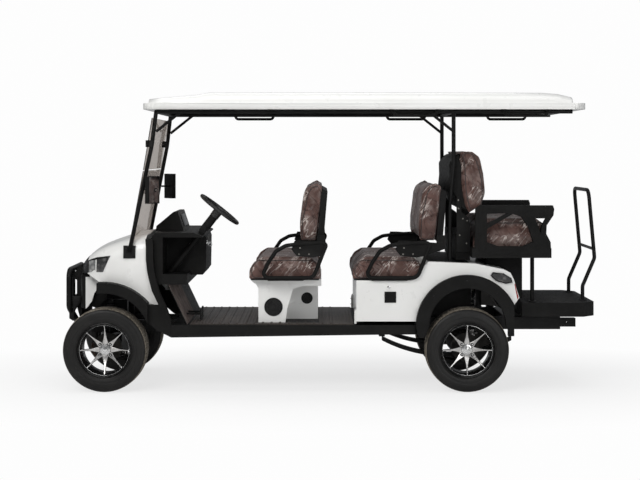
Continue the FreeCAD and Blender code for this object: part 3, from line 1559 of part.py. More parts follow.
def make_rear_seat():
    cushion = new_body("rear_seat_cushion")
    low = "tray_z + tray_high + seat_gap"
    across(cushion, "rear_cushion", [
        ("rear_seat_x", low), ("rear_seat_x", "rear_seat_top", "seat_round"),
        ("rear_seat_x + rear_seat_long", "rear_seat_top", "seat_round"),
        ("rear_seat_x + rear_seat_long", low)], "rear_seat_wide")
    back = new_body("rear_backrest")
    across(back, "rear_back", spread(REAR_BACK_SHARES, "rear_back_x", "rear_back_thick",
                                     "rear_back_z", "rear_back_high"), "rear_back_wide")
    shell = new_body("rear_backrest_shell")
    across(shell, "rear_shell", spread(REAR_SHELL_SHARES, "rear_back_x", "rear_back_thick",
                                       "rear_back_z", "rear_back_high"),
           "rear_back_wide - 2 * shell_inset")
    return cushion, back, shell


rear_cushion, rear_back, rear_shell = make_rear_seat()


# Footplate and grab bar
def make_footplate():
    body = new_body("plate_moulding")
    end = "plate_x + plate_long"
    half = "plate_wide / 2"
    corners = [("plate_x", f"0 - {half}"), (f"{end} - plate_corner", f"0 - {half}"),
               (end, f"plate_corner - {half}"), (end, f"{half} - plate_corner"),
               (f"{end} - plate_corner", half), ("plate_x", half)]
    pad(body, "plate", "XY_Plane", corners, "plate_top - plate_drop", "plate_drop")
    half = "(plate_wide / 2 - plate_skin)"
    end = "(plate_x + plate_long - plate_skin)"
    inner = [("plate_x + plate_skin", f"0 - {half}"), (f"{end} - plate_corner", f"0 - {half}"),
             (end, f"plate_corner - {half}"), (end, f"{half} - plate_corner"),
             (f"{end} - plate_corner", half), ("plate_x + plate_skin", half)]
    pad(body, "plate_hollow", "XY_Plane", inner, "plate_top - plate_drop",
        "plate_drop - plate_skin", cut=True)
    pieces = [body]
    foot = "(rail_z + kick_up + rail_high)"
    left = block("plate_rib", "plate_x + plate_skin", "0 - middle_rail_y - rail_wide", foot,
                 "rail_end_x - plate_x - 2 * plate_skin", "rail_wide",
                 f"plate_top - plate_skin - {foot}")
    strut = rod("seat_strut", "Z", "strut_x", "0 - strut_y", "plate_top", "strut_radius",
                "tray_z - plate_top")
    return join("footplate", body, left, reflect(left), strut, reflect(strut))


footplate = make_footplate()


def make_grab_bar():
    side = [Vector(Size.grab_kink_x, -Size.grab_half, Size.plate_top),
            Vector(Size.grab_kink_x, -Size.grab_half, Size.grab_kink_z),
            Vector(Size.grab_mid_x, -Size.grab_half, Size.grab_mid_z),
            Vector(Size.grab_top_x, -Size.grab_half, Size.grab_top_z)]
    other = [Vector(p.x, -p.y, p.z) for p in reversed(side)]
    hoop = bar(side + other, Size.grab_tube, Size.grab_bend)
    share = (Size.grab_cross_z - Size.grab_mid_z) / (Size.grab_top_z - Size.grab_mid_z)
    x = Size.grab_mid_x + share * (Size.grab_top_x - Size.grab_mid_x)
    cross = Part.makeCylinder(Size.grab_tube * 0.8, 2 * Size.grab_half,
                              Vector(x, -Size.grab_half, Size.grab_cross_z), Vector(0, 1, 0))
    return solid("rear_grab_bar", hoop.fuse(cross))


grab_bar = make_grab_bar()


# Canopy
def make_roof():
    """A shallow shell with a rim and a raised middle, hollow below."""
    body = new_body("roof_rim_moulding")
    pad(body, "roof_rim_form", "XY_Plane",
        rectangle("roof_x", "0 - roof_wide / 2", "roof_end_x - roof_x", "roof_wide",
                  "roof_corner"), "roof_z", "roof_rim")
    document.recompute()

    def crown(inset, drop):
        shares = [(0, 0.3), (0.03, 0.45), (0.11, 0.75), (0.14, 1), (0.5, 1.03), (0.93, 0.98),
                  (0.97, 0.85), (1, 0.5)]
        sections = []
        long = Size.crown_end_x - Size.crown_x - 2 * inset
        for along, rise in shares:
            x = Size.crown_x + inset + along * long
            half = Size.crown_wide / 2 - inset
            high = Size.crown_high * rise - drop
            foot = Size.roof_z + Size.roof_rim / 2 if not drop else Size.roof_z - drop
            top = Size.roof_z + Size.roof_rim + high
            curve = Part.BSplineCurve()
            curve.interpolate([Vector(x, y * half, z) for y, z in (
                (-1, Size.roof_z + Size.roof_rim / 2 - drop), (-0.93, top - 0.45 * high),
                (-0.6, top - 0.1 * high), (0, top), (0.6, top - 0.1 * high),
                (0.93, top - 0.45 * high), (1, Size.roof_z + Size.roof_rim / 2 - drop))])
            ends = [curve.StartPoint, curve.EndPoint]
            low = [Vector(end.x, end.y, foot - Size.roof_skin) for end in ends]
            edges = [curve.toShape(), Part.LineSegment(ends[1], low[1]).toShape(),
                     Part.LineSegment(low[1], low[0]).toShape(),
                     Part.LineSegment(low[0], ends[0]).toShape()]
            sections.append(Part.Wire(edges))
        return Part.makeLoft(sections, True, True)

    outer = body.Shape.fuse(crown(0, 0))
    cavity = Part.makeBox(Size.crown_end_x - Size.crown_x - 4 * Size.roof_corner,
                          Size.cavity_wide, Size.crown_high * 3,
                          Vector(Size.crown_x + 2 * Size.roof_corner, -Size.cavity_wide / 2,
                                 Size.roof_z - Size.crown_high))
    hollow = crown(Size.roof_skin, Size.roof_skin).common(cavity)
    return solid("canopy_roof", outer.cut(hollow))


roof = make_roof()


def make_canopy_frame():
    """Four posts with braces, two long rails and three cross tubes below the roof."""
    tube = Size.post_tube
    rail_z = Size.roof_z - tube
    base = cowl_form(0)
    pieces = []
    for side in (-1, 1):
        top_y = side * Size.post_top_y
        foot_y = side * Size.post_foot_y
        top = Vector(Size.post_top_x, top_y, rail_z)
        foot = Vector(Size.post_foot_x, foot_y, Size.post_foot_z)
        upper = foot + (top - foot) * 0.76 + Vector(tube, 0, 0)
        end = Vector(Size.rear_post_x, side * Size.rear_post_y, rail_z)
        pieces.append(bar([foot, upper, top], tube, Size.grab_bend * 3))
        rear = [Vector(Size.rear_post_foot_x, end.y, Size.body_deck),
                Vector(Size.rear_post_foot_x, end.y, Size.rear_post_bend_z - Size.brace_low),
                Vector(Size.rear_post_x, end.y, Size.rear_post_bend_z + Size.brace_low), end]
        pieces.append(bar(rear, tube, Size.grab_bend * 2))
        pieces.append(Part.makeCylinder(tube, Size.roof_end_x - Size.post_top_x
                                        - Size.roof_corner, top, Vector(1, 0, 0)))
        for x, run in ((Size.post_top_x, Size.brace_run), (Size.rear_post_x, -Size.brace_run)):
            start = Vector(x, top_y if x < 0 else end.y, rail_z - Size.brace_low)
            reach = Vector(run, 0, Size.brace_low)
            pieces.append(Part.makeCylinder(tube * 0.7, reach.Length, start, reach))
        plate = Part.makeBox(Size.base_long, Size.post_foot_y - Size.cowl_wide * 0.46,
                             Size.base_high,
                             Vector(Size.post_foot_x - Size.base_long / 2,
                                    Size.cowl_wide * 0.46 if side > 0 else -Size.post_foot_y,
                                    Size.post_foot_z - Size.base_high / 2))
        pieces.append(plate)
        clip_at = foot + (top - foot) * ((Size.clip_z - foot.z) / (top.z - foot.z))
        pieces.append(Part.makeBox(Size.clip_wide, Size.clip_wide, Size.clip_high,
                                   Vector(clip_at.x - Size.clip_wide / 2,
                                          clip_at.y - Size.clip_wide / 2, Size.clip_z)))
    for x in (Size.post_top_x, Size.rear_post_x, Size.crown_end_x - Size.roof_corner):
        pieces.append(Part.makeCylinder(tube, 2 * Size.post_top_y,
                                        Vector(x, -Size.post_top_y, rail_z), Vector(0, 1, 0)))
    return pieces[0].fuse(pieces[1:]).cut(base)


def make_panes():
    """A lower and an upper sheet of tinted glass that lean on the front posts."""
    def x_at(z):
        """Where the sheet's front face lies at a height."""
        low = (Size.pane_foot_x, Size.pane_foot_z)
        split = (Size.pane_split_x, Size.pane_split_z)
        top = (Size.pane_top_x, Size.pane_top_z)
        start, finish = (low, split) if z <= split[1] else (split, top)
        return start[0] + (finish[0] - start[0]) * (z - start[1]) / (finish[1] - start[1])
    pieces = []
    spans = ((Size.pane_foot_z, Size.pane_split_z - Size.pane_gap / 2),
             (Size.pane_split_z + Size.pane_gap / 2, Size.pane_top_z))
    for low, high in spans:
        pieces.append(slab([(x_at(low), low), (x_at(low) + Size.pane_thick, low),
                            (x_at(high) + Size.pane_thick, high), (x_at(high), high)],
                           -Size.pane_wide / 2, Size.pane_wide))
    return Part.Compound([piece.cut(cowl_form(0)) for piece in pieces])


windscreen = solid("windscreen", make_panes())
canopy_frame = solid("canopy_frame", make_canopy_frame().cut(windscreen.Shape))


def make_handles():
    """Drop handles below the roof's edge, three on the right and two on the left."""
    pieces = []
    rear = (Size.handle_middle_x, Size.handle_rear_x)
    starts = {1: (Size.handle_front_x, *rear), -1: rear}
    for side, places in starts.items():
        for x in places:
            y = side * Size.handle_y
            low = Size.roof_z - Size.handle_drop
            path = [Vector(x, y, Size.roof_z), Vector(x + Size.handle_drop / 2, y, low),
                    Vector(x + Size.handle_long - Size.handle_drop / 2, y, low),
                    Vector(x + Size.handle_long, y, Size.roof_z)]
            pieces.append(bar(path, Size.handle_tube, Size.handle_drop / 2))
    return solid("grab_handles", Part.Compound(pieces).cut(roof.Shape))


handles = make_handles()


def make_mirrors():
    """A housing on a short stalk from each front post."""
    housing = Part.makeBox(Size.mirror_thick, Size.mirror_wide, Size.mirror_high,
                           Vector(-Size.mirror_thick / 2, -Size.mirror_wide / 2, 0))
    housing.rotate(Vector(), Vector(0, 0, 1), Size.mirror_turn_angle)
    housing.translate(Vector(Size.mirror_x + Size.mirror_wide / 2, Size.mirror_y
                             + Size.mirror_wide / 2, Size.mirror_z))
    stalk = Part.makeCylinder(Size.loop_tube / 2, Size.mirror_wide,
                              Vector(Size.mirror_x - Size.stalk_back,
                                     Size.mirror_y - Size.stalk_in,
                                     Size.mirror_z + Size.mirror_high / 2),
                              Vector(1, 0.8, 0))
    shape = both_sides(housing.fuse(stalk))
    return solid("mirrors", shape.cut(canopy_frame.Shape))


mirrors = make_mirrors()

PARTS = [piece for pair in wheels.values() for piece in pair]
PARTS += [*knuckles.values(), tie_rod, frame, front_suspension, rear_axle, rear_suspension,
          battery, floor_pan, floor_mat, pedals, cowl, fascia, headlights, guard, flares, trim,
          dashboard, column, steering_wheel, pod, speakers, front_cushion, second_cushion,
          front_back, second_back, front_seat_frame, second_seat_frame, rear_body, flap,
          tail_lights, rear_base, rear_cushion, rear_back, rear_shell, footplate, grab_bar, roof,
          windscreen, canopy_frame, handles, mirrors]
document.recompute()
for thing in document.Objects:
    if {"Invalid", "Error"} & set(thing.State):
        raise RuntimeError(f"{thing.Name}: {thing.State} {thing.getStatusString()}")
os.makedirs("parts", exist_ok=True)
for piece in PARTS:
    if piece.Shape.isNull() or not piece.Shape.isValid():
        raise RuntimeError(f"{piece.Label} has no valid shape")
for piece in PARTS:
    piece.Shape.exportStep(f"parts/{piece.Label}.step")
print(len(PARTS), "sub-parts written")
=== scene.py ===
"""A lifted six-seat golf cart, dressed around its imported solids, in metres.

The cart's nose points towards -X, its left side towards -Y, and the ground is Z = 0.
"""
import bmesh
import bpy
import json
import math
from mathutils import Matrix, Vector, noise
from mathutils.bvhtree import BVHTree

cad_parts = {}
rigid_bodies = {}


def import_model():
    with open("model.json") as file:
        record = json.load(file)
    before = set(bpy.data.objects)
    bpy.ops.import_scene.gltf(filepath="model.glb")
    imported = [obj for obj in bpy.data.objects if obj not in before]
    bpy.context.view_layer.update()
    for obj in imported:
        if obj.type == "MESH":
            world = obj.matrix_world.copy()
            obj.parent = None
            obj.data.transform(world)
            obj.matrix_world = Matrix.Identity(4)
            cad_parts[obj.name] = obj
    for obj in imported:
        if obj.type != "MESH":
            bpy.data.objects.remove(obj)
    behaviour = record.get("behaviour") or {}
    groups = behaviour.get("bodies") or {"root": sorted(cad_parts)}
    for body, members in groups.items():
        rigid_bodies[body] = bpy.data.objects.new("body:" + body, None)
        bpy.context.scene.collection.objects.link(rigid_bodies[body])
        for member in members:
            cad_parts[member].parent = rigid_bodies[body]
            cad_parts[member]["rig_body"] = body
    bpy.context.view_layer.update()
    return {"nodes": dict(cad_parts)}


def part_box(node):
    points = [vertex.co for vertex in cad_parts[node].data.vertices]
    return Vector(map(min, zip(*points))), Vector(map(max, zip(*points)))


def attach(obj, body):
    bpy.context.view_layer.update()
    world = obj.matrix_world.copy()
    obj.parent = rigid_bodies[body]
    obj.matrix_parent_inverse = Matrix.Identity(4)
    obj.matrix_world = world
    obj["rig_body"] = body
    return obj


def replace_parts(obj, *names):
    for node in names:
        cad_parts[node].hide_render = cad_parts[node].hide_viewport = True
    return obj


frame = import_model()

scene = bpy.context.scene
nodes = frame["nodes"]
LEFT, RIGHT = Vector((0, -1, 0)), Vector((0, 1, 0))
FORWARD, REARWARD = Vector((-1, 0, 0)), Vector((1, 0, 0))
UPWARD = Vector((0, 0, 1))


# Shader nodes
def link(source, socket):
    source.id_data.links.new(source, socket)


def made(near, kind, values={}, links={}, **settings):
    """A shader node in the tree of a socket or node, with its values, links and settings."""
    node = near.id_data.nodes.new("ShaderNode" + kind)
    for name, value in settings.items():
        setattr(node, name, value)
    for socket, value in values.items():
        node.inputs[socket].default_value = value
    for socket, source in links.items():
        link(source, node.inputs[socket])
    return node


def worked(operation, first, second=0.0):
    """A sum over an output and either another output or a plain number."""
    total = made(first, "Math", {}, {0: first}, operation=operation)
    if isinstance(second, float):
        total.inputs[1].default_value = second
    else:
        link(second, total.inputs[1])
    return total.outputs[0]


def mapped(spot, turn=(0, 0, 0), scale=(1, 1, 1), kind="POINT"):
    """Coordinates turned and scaled."""
    mapping = made(spot, "Mapping", {"Rotation": turn, "Scale": scale}, {"Vector": spot},
                   vector_type=kind)
    return mapping.outputs["Vector"]


def ranged(source, low, high, start=0.35, end=0.65):
    """A value that goes from low to high as the source goes from start to end."""
    ends = {"From Min": start, "From Max": end, "To Min": low, "To Max": high}
    span = made(source, "MapRange", ends, {"Value": source})
    return span.outputs["Result"]


def cloud(spot, scale, detail=3.0):
    """Noise over the surface."""
    grain = made(spot, "TexNoise", {"Scale": scale, "Detail": detail}, {"Vector": spot})
    return grain.outputs["Fac"]


def layered(under, weight, colour):
    """A colour laid over another colour, or over an output, where the weight is high."""
    mix = made(weight, "Mix", {"B": (*colour, 1)}, {"Factor": weight}, data_type="RGBA")
    if isinstance(under, tuple):
        mix.inputs["A"].default_value = (*under, 1)
    else:
        link(under, mix.inputs["A"])
    return mix.outputs["Result"]


def bump(shader, height, depth, strength=1.0):
    relief = made(shader, "Bump", {"Strength": strength, "Distance": depth}, {"Height": height})
    link(relief.outputs["Normal"], shader.inputs["Normal"])


def new_finish(name, **values):
    """A material with its shader's sockets set; underlines stand for the spaces in their names."""
    finish = bpy.data.materials.new(name)
    finish.use_nodes = True
    shader = finish.node_tree.nodes["Principled BSDF"]
    for socket, value in values.items():
        shader.inputs[socket.replace("_", " ")].default_value = value
    spot = made(shader, "TexCoord")
    return finish, shader, spot.outputs["Object"]


# Camera, light and floor
LENS_SHARE = 1443 / 640
FRAME_DROP = 87 / 640
CAMERA_PLACE = (-0.085, -11.025, 1.73)
SENSOR_WIDE = 36
CLIP_FAR = 100
LAMPS = [
    ("key", (-3.4, -6.5, 5.4), (-0.2, 0, 0.8), (4.5, 3), 310, (1, 0.985, 0.965)),
    ("fill", (3.6, -7, 2.4), (0.3, 0, 0.8), (4, 3), 110, (1, 1, 1)),
    ("top", (0, -0.6, 7), (0, 0, 0), (7, 4), 178, (1, 1, 1)),
    ("far_side", (-0.5, 5, 6), (0, 0, 1), (6, 3), 70, (1, 1, 1)),
]
BACKDROP = (0.985, 0.985, 0.985, 1)
SKY_TINT = (0.95, 0.97, 1, 1)
SKY_STRENGTH = 0.3
FLOOR_TINT = (0.86, 0.86, 0.86, 1)
FLOOR_HALF = 60
FLOOR_WHITE = 0.75
SHADOW_REACH = (0.9, 2.1)
SHADOW_SPREAD = (0.5, 1, 1)


def set_camera():
    lens = bpy.data.cameras.new("camera")
    lens.sensor_width = SENSOR_WIDE
    lens.lens = SENSOR_WIDE * LENS_SHARE
    lens.shift_y = -FRAME_DROP
    lens.clip_end = CLIP_FAR
    camera = bpy.data.objects.new("camera", lens)
    camera.location = CAMERA_PLACE
    camera.rotation_euler = (math.pi / 2, 0, 0)
    scene.collection.objects.link(camera)
    scene.camera = camera
    scene.view_settings.view_transform = "Standard"


def pale_to_camera(shader, output, share=1.0):
    """Put a shader out, mixed with plain white for the rays that see the background."""
    path = made(shader, "LightPath")
    seen = worked("MAXIMUM", path.outputs["Is Camera Ray"], path.outputs["Is Transmission Ray"])
    white = made(shader, "Emission", {"Color": BACKDROP})
    share = worked("MULTIPLY", seen, share)
    mix = made(shader, "MixShader", links={0: share, 1: shader.outputs[0], 2: white.outputs[0]})
    link(mix.outputs[0], shader.id_data.nodes[output].inputs["Surface"])


def set_sky():
    world = bpy.data.worlds.new("studio")
    scene.world = world
    world.use_nodes = True
    soft = world.node_tree.nodes["Background"]
    soft.inputs["Color"].default_value = SKY_TINT
    soft.inputs["Strength"].default_value = SKY_STRENGTH
    pale_to_camera(soft, "World Output")


def set_floor():
    """A pale floor that keeps a soft shadow under the cart and fades to white around it."""
    paint, shader, spot = new_finish("floor_paint")
    paint.node_tree.nodes.remove(shader)
    matt = made(spot, "BsdfDiffuse", {"Color": FLOOR_TINT})
    far = made(spot, "VectorMath", {}, {0: mapped(spot, scale=SHADOW_SPREAD)}, operation="LENGTH")
    fade = ranged(far.outputs["Value"], FLOOR_WHITE, 1, *SHADOW_REACH)
    pale_to_camera(matt, "Material Output", fade)
    form = bmesh.new()
    bmesh.ops.create_grid(form, x_segments=1, y_segments=1, size=FLOOR_HALF)
    mesh = mesh_of("studio_floor", form)
    mesh.materials.append(paint)
    loose("studio_floor", mesh)


def add_lamps():
    """Area lamps; a row of the table is a name, place, aim, size, power and tint."""
    for name, place, aim, size, watts, tint in LAMPS:
        lamp = bpy.data.lights.new(name, "AREA")
        lamp.shape = "RECTANGLE"
        lamp.size, lamp.size_y = size
        lamp.energy = watts
        lamp.color = tint
        thing = loose(name, lamp)
        thing.location = place
        thing.rotation_euler = (Vector(aim) - Vector(place)).to_track_quat("-Z", "Y").to_euler()


# Finishes
COAT_ROUGH = 0.06
WORN_SHARE = 0.6
WORN_REACH = (0.53, 0.62)
UNEVEN_SHARES = (0.85, 1.15)
FINE_PATCH_SHARE = 7
# Painted shade along the seat film's folds: spacings, slant and width of its lines
FOLD_SHADE_LINES = ((0.05, 0.16, 0.2), (0.2, -0.6, 0.3), 0.025)
# Painted glints along the seat film's creases: spacings, slant and width of their lines
PAINTED_GLINT_LINES = ((0.032, 0.13, 0.15), (0.3, 0.65, -0.3), 0.038)
GLINT_DEEP = 0.004
CLEAR_BEND = 1.12
EDGE_SHARE = 0.93
WAVE_TURN = 6.28
DEEP_CLOUD = (11, 5)
# Painted sheen patches over the seat film, and the patches where its painted glints show
PAINTED_SHEEN_CLOUD, PAINTED_SHEEN = (8, 3), (0, 0.12, 0.5, 0.62)
PAINTED_GLINT_CLOUD, PAINTED_GLINT_PATCHES = (7, 2), (0, 0.95, 0.47, 0.6)
FACET_REACH = (0.1, 0.6)


def moulded(name, colour, dusty, rough, patch, grain=None, metal=0.0, coat=0.0, worn=None,
            shine=0.5):
    """Paint, plastic, rubber or metal: slow patches of tone, a fine grain and worn edges.

    The grain is a scale and a depth, and worn is the colour of rubbed edges.
    """
    finish, shader, spot = new_finish(name, Metallic=metal, Specular_IOR_Level=shine,
                                      Coat_Weight=coat, Coat_Roughness=COAT_ROUGH)
    tone = layered(colour, ranged(cloud(spot, patch), 0, 1), dusty)
    if worn:
        edge = made(spot, "NewGeometry")
        rim = ranged(edge.outputs["Pointiness"], 0, WORN_SHARE, *WORN_REACH)
        tone = layered(tone, rim, worn)
    link(tone, shader.inputs["Base Color"])
    uneven = ranged(cloud(spot, patch * FINE_PATCH_SHARE, 4),
                    *(rough * share for share in UNEVEN_SHARES))
    link(uneven, shader.inputs["Roughness"])
    if grain:
        scale, depth = grain
        bump(shader, cloud(spot, scale, 2), depth)
    return finish


def ribbed(name, colour, dusty, rough, pitch, depth):
    """Moulded rubber with fine grooves across it."""
    finish, shader, spot = new_finish(name, Roughness=rough)
    tone = layered(colour, ranged(cloud(spot, 6), 0, 1), dusty)
    link(tone, shader.inputs["Base Color"])
    wave = made(spot, "TexWave", {"Scale": 1 / pitch / WAVE_TURN}, {"Vector": spot},
                bands_direction="X")
    bump(shader, wave.outputs["Fac"], depth)
    return finish


def veins(spot, lengths, turn, width):
    """Thin lines along a slant, as a film's creases make, for the painted fold shade and the painted
    glints; lengths are their spacings.
    """
    slanted = mapped(spot, turn, lengths, "TEXTURE")
    grain = made(spot, "TexNoise", {"Scale": 1, "Detail": 2, "Distortion": 0.5},
                 {"Vector": slanted})
    away = worked("ABSOLUTE", worked("SUBTRACT", grain.outputs["Fac"], 0.5))
    return ranged(away, 1, 0, 0, width)


def filmed_leather(name, colour, deep, fold_shade, painted_glint_and_sheen):
    """Brown leather under a clear film, with painted shade along its folds, a painted sheen, and painted
    glints along creases.
    """
    finish, shader, spot = new_finish(name, Roughness=0.42, Specular_IOR_Level=0.14,
                                      Coat_Weight=0.09, Coat_Roughness=0.12)
    tone = layered(colour, ranged(cloud(spot, *DEEP_CLOUD), 0, 1), deep)
    # painted sheen: broad pale patches over the leather
    sheen_mask = ranged(cloud(spot, *PAINTED_SHEEN_CLOUD), *PAINTED_SHEEN)
    tone = layered(tone, sheen_mask, painted_glint_and_sheen)
    # painted shade along the film's folds
    tone = layered(tone, veins(spot, *FOLD_SHADE_LINES), fold_shade)
    # painted glints along the creases, in patches; the same lines also bump the surface
    patch = ranged(cloud(spot, *PAINTED_GLINT_CLOUD), *PAINTED_GLINT_PATCHES)
    bright = worked("MULTIPLY", veins(spot, *PAINTED_GLINT_LINES), patch)
    link(layered(tone, bright, painted_glint_and_sheen), shader.inputs["Base Color"])
    bump(shader, bright, GLINT_DEEP, 0.8)
    return finish


def faceted(name, pale, dark, scale):
    """A lamp's glossy cover over a dark bowl, its reflector's facets painted as small pale reflections.
    """
    finish, shader, spot = new_finish(name, Roughness=0.2, Coat_Weight=1.0, Coat_Roughness=0.03)
    cells = made(spot, "TexVoronoi", {"Scale": scale}, {"Vector": spot})
    # painted reflections: pale in each facet's middle, fading to dark at its edges
    reflection_fade = ranged(cells.outputs["Distance"], 0, 1, *FACET_REACH)
    link(layered(pale, reflection_fade, dark), shader.inputs["Base Color"])
    return finish


def clear(name, colour, rough):
    """A see-through sheet, tinted a little unevenly."""
    finish, shader, spot = new_finish(name, Transmission_Weight=1.0, Roughness=rough,
                                      IOR=CLEAR_BEND)
    tone = layered(colour, ranged(cloud(spot, 4), 0, 1),
                   tuple(EDGE_SHARE * part for part in colour))
    link(tone, shader.inputs["Base Color"])
    return finish


FINISHES = {
    "white": moulded("white_gelcoat", (0.78, 0.78, 0.765), (0.74, 0.74, 0.72), 0.32, 2, coat=0.4),
    "plastic": moulded("black_moulding", (0.0048, 0.0048, 0.0046), (0.0085, 0.0083, 0.008), 0.55, 6,
        (900, 0.0005), worn=(0.016, 0.016, 0.0155), shine=0.1),
    "grey": moulded("grey_moulding", (0.045, 0.043, 0.041), (0.06, 0.058, 0.055), 0.6, 6, (900, 0.0005),
        shine=0.35),
    "steel": moulded("black_powder_coat", (0.0042, 0.0042, 0.0042), (0.0078, 0.0078, 0.0076), 0.4, 9,
        (1300, 0.0002), worn=(0.016, 0.016, 0.016), shine=0.13),
    "gloss": moulded("black_gloss", (0.0045, 0.0045, 0.0045), (0.007, 0.007, 0.007), 0.24, 8,
        (700, 0.00004), coat=0.1, shine=0.22),
    "rubber": moulded("tyre_wall", (0.0042, 0.004, 0.0038), (0.008, 0.0076, 0.007), 0.46, 9,
        (620, 0.0003), shine=0.3),
    "tread": moulded("tyre_tread", (0.13, 0.112, 0.088), (0.25, 0.222, 0.182), 0.85, 40, (240, 0.001),
        shine=0.25),
    "machined": moulded("machined_alloy", (0.62, 0.61, 0.6), (0.42, 0.41, 0.4), 0.26, 25, (1500, 0.00008),
        metal=1.0),
    "bright": moulded("bright_steel", (0.7, 0.7, 0.7), (0.5, 0.5, 0.49), 0.18, 30, metal=1.0),
    "iron": moulded("cast_iron", (0.018, 0.017, 0.016), (0.034, 0.031, 0.027), 0.62, 20, (320, 0.0012),
        metal=0.3, shine=0.35),
    "rust": moulded("worn_iron", (0.075, 0.045, 0.032), (0.12, 0.08, 0.06), 0.7, 25, (300, 0.001),
        metal=0.3),
    # The seat's leather colour and its darker tone, then its painted fold shade and the colour of its
    # painted glints and sheen
    "seat": filmed_leather("filmed_leather", (0.12, 0.07, 0.06), (0.07, 0.039, 0.033),
        (0.042, 0.023, 0.02), (0.6, 0.53, 0.49)),
    "welt": moulded("seat_welt", (0.02, 0.013, 0.012), (0.035, 0.023, 0.02), 0.4, 12, (700, 0.0002),
        coat=0.3, shine=0.4),
    "mat": ribbed("ribbed_mat", (0.026, 0.019, 0.016), (0.045, 0.034, 0.028), 0.6, 0.012, 0.0015),
    "carpet": moulded("brown_lining", (0.11, 0.085, 0.078), (0.19, 0.158, 0.144), 0.8, 14, (500, 0.0012),
        shine=0.2),
    "glass": clear("tinted_sheet", (0.43, 0.385, 0.35), 0.02),
    # the lamps' pale colours are painted reflections of their reflector facets
    "lens": faceted("clear_lamp", (0.36, 0.36, 0.35), (0.12, 0.122, 0.122), 26),
    "smoke": faceted("smoked_lamp", (0.09, 0.088, 0.085), (0.012, 0.012, 0.012), 30),
    "mirror": moulded("mirror_glass", (0.55, 0.56, 0.56), (0.5, 0.51, 0.51), 0.05, 3, metal=1.0),
    "grip": moulded("grip_rubber", (0.008, 0.008, 0.008), (0.014, 0.014, 0.014), 0.46, 9, (1000, 0.0005),
        shine=0.4),
    "cloth": moulded("grille_cloth", (0.008, 0.008, 0.008), (0.016, 0.016, 0.016), 0.7, 40, (1600, 0.001),
        shine=0.25),
    "zinc": moulded("zinc_plate", (0.2, 0.195, 0.18), (0.12, 0.115, 0.105), 0.45, 40, (900, 0.0002),
        metal=0.7),
    "red": moulded("red_lens", (0.3, 0.02, 0.018), (0.2, 0.012, 0.012), 0.2, 20, (500, 0.0001), coat=0.5),
}


# Making pieces
CURVED = ("canopy_roof", "front_cowl", "windscreen")
DOUBLES = 0.00002
FLAT_TURN = 0.6
SHARP_TURN = 32
BROAD = 0.001
SIDEWAYS = 0.8


def loose(name, data):
    thing = bpy.data.objects.new(name, data)
    scene.collection.objects.link(thing)
    return thing


def mesh_of(name, form):
    mesh = bpy.data.meshes.new(name)
    form.to_mesh(mesh)
    form.free()
    return mesh


def form_of(mesh):
    form = bmesh.new()
    form.from_mesh(mesh)
    return form


def fit(name, form, node, *finishes, smooth=38):
    """Make a finished form a piece that moves with a CAD node."""
    mesh = mesh_of(name, form)
    for finish in finishes:
        mesh.materials.append(FINISHES[finish])
    mesh.shade_smooth()
    mesh.set_sharp_from_angle(angle=math.radians(smooth))
    thing = loose(name, mesh)
    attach(thing, nodes[node]["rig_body"])
    return thing


def merged(node):
    """A CAD node's mesh, its loose triangles joined and, unless curved, its flat faces whole."""
    form = form_of(nodes[node].data)
    bmesh.ops.remove_doubles(form, verts=form.verts, dist=DOUBLES)
    if node not in CURVED:
        bmesh.ops.dissolve_limit(form, angle_limit=math.radians(FLAT_TURN), verts=form.verts,
                                 edges=form.edges, delimit={"NORMAL"})
    form.normal_update()
    return form


def skin_of(node):
    """A CAD node's surface, to lay things on."""
    form = merged(node)
    surface = BVHTree.FromBMesh(form)
    form.free()
    return surface


def stand_in(node, form, finishes, width):
    """Show a form in a CAD node's place, its sharp edges rounded by a width."""
    thing = fit(f"{node}_skin", form, node, *finishes, smooth=SHARP_TURN)
    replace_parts(thing, node)
    if width:
        edge = thing.modifiers.new("edge", "BEVEL")
        edge.width = width
        edge.segments = 2
        edge.limit_method = "ANGLE"
        edge.angle_limit = math.radians(SHARP_TURN)
        edge.use_clamp_overlap = True
        edge.harden_normals = True


def zoned(node, finishes, cuts, choose, width=0.0):
    """Stand for a CAD node that has several finishes, cut along planes where they change."""
    form = merged(node)
    for place, normal in cuts:
        whole = form.verts[:] + form.edges[:] + form.faces[:]
        bmesh.ops.bisect_plane(form, geom=whole, plane_co=place, plane_no=normal)
    form.normal_update()
    for face in form.faces:
        face.material_index = choose(face.calc_center_median(), face.normal)
    stand_in(node, form, finishes, width)


def bezelled(node, finishes, width, test, edge=0.0):
    """Stand for a CAD node whose chosen faces have a second finish, the broad ones a border."""
    form = merged(node)
    faces = [face for face in form.faces if test(face)]
    broad = [face for face in faces if face.calc_area() > BROAD]
    bmesh.ops.inset_region(form, faces=broad, thickness=width, use_even_offset=True)
    for face in faces:
        face.material_index = 1
    stand_in(node, form, finishes, edge)


def add_form(form, other):
    mesh = mesh_of("join", other)
    form.from_mesh(mesh)
    bpy.data.meshes.remove(mesh)
    return form


def both(form):
    """The form with its mirror image on the cart's other side."""
    turned = form.copy()
    bmesh.ops.scale(turned, verts=turned.verts, vec=(1, -1, 1))
    bmesh.ops.reverse_faces(turned, faces=turned.faces)
    return add_form(form, turned)


def around(form, count, first=0.0):
    """Repeat a whole form about the Y axis."""
    whole = bmesh.new()
    for number in range(count):
        turned = form.copy()
        turned.transform(Matrix.Rotation(first + math.tau * number / count, 4, "Y"))
        add_form(whole, turned)
    form.free()
    return whole


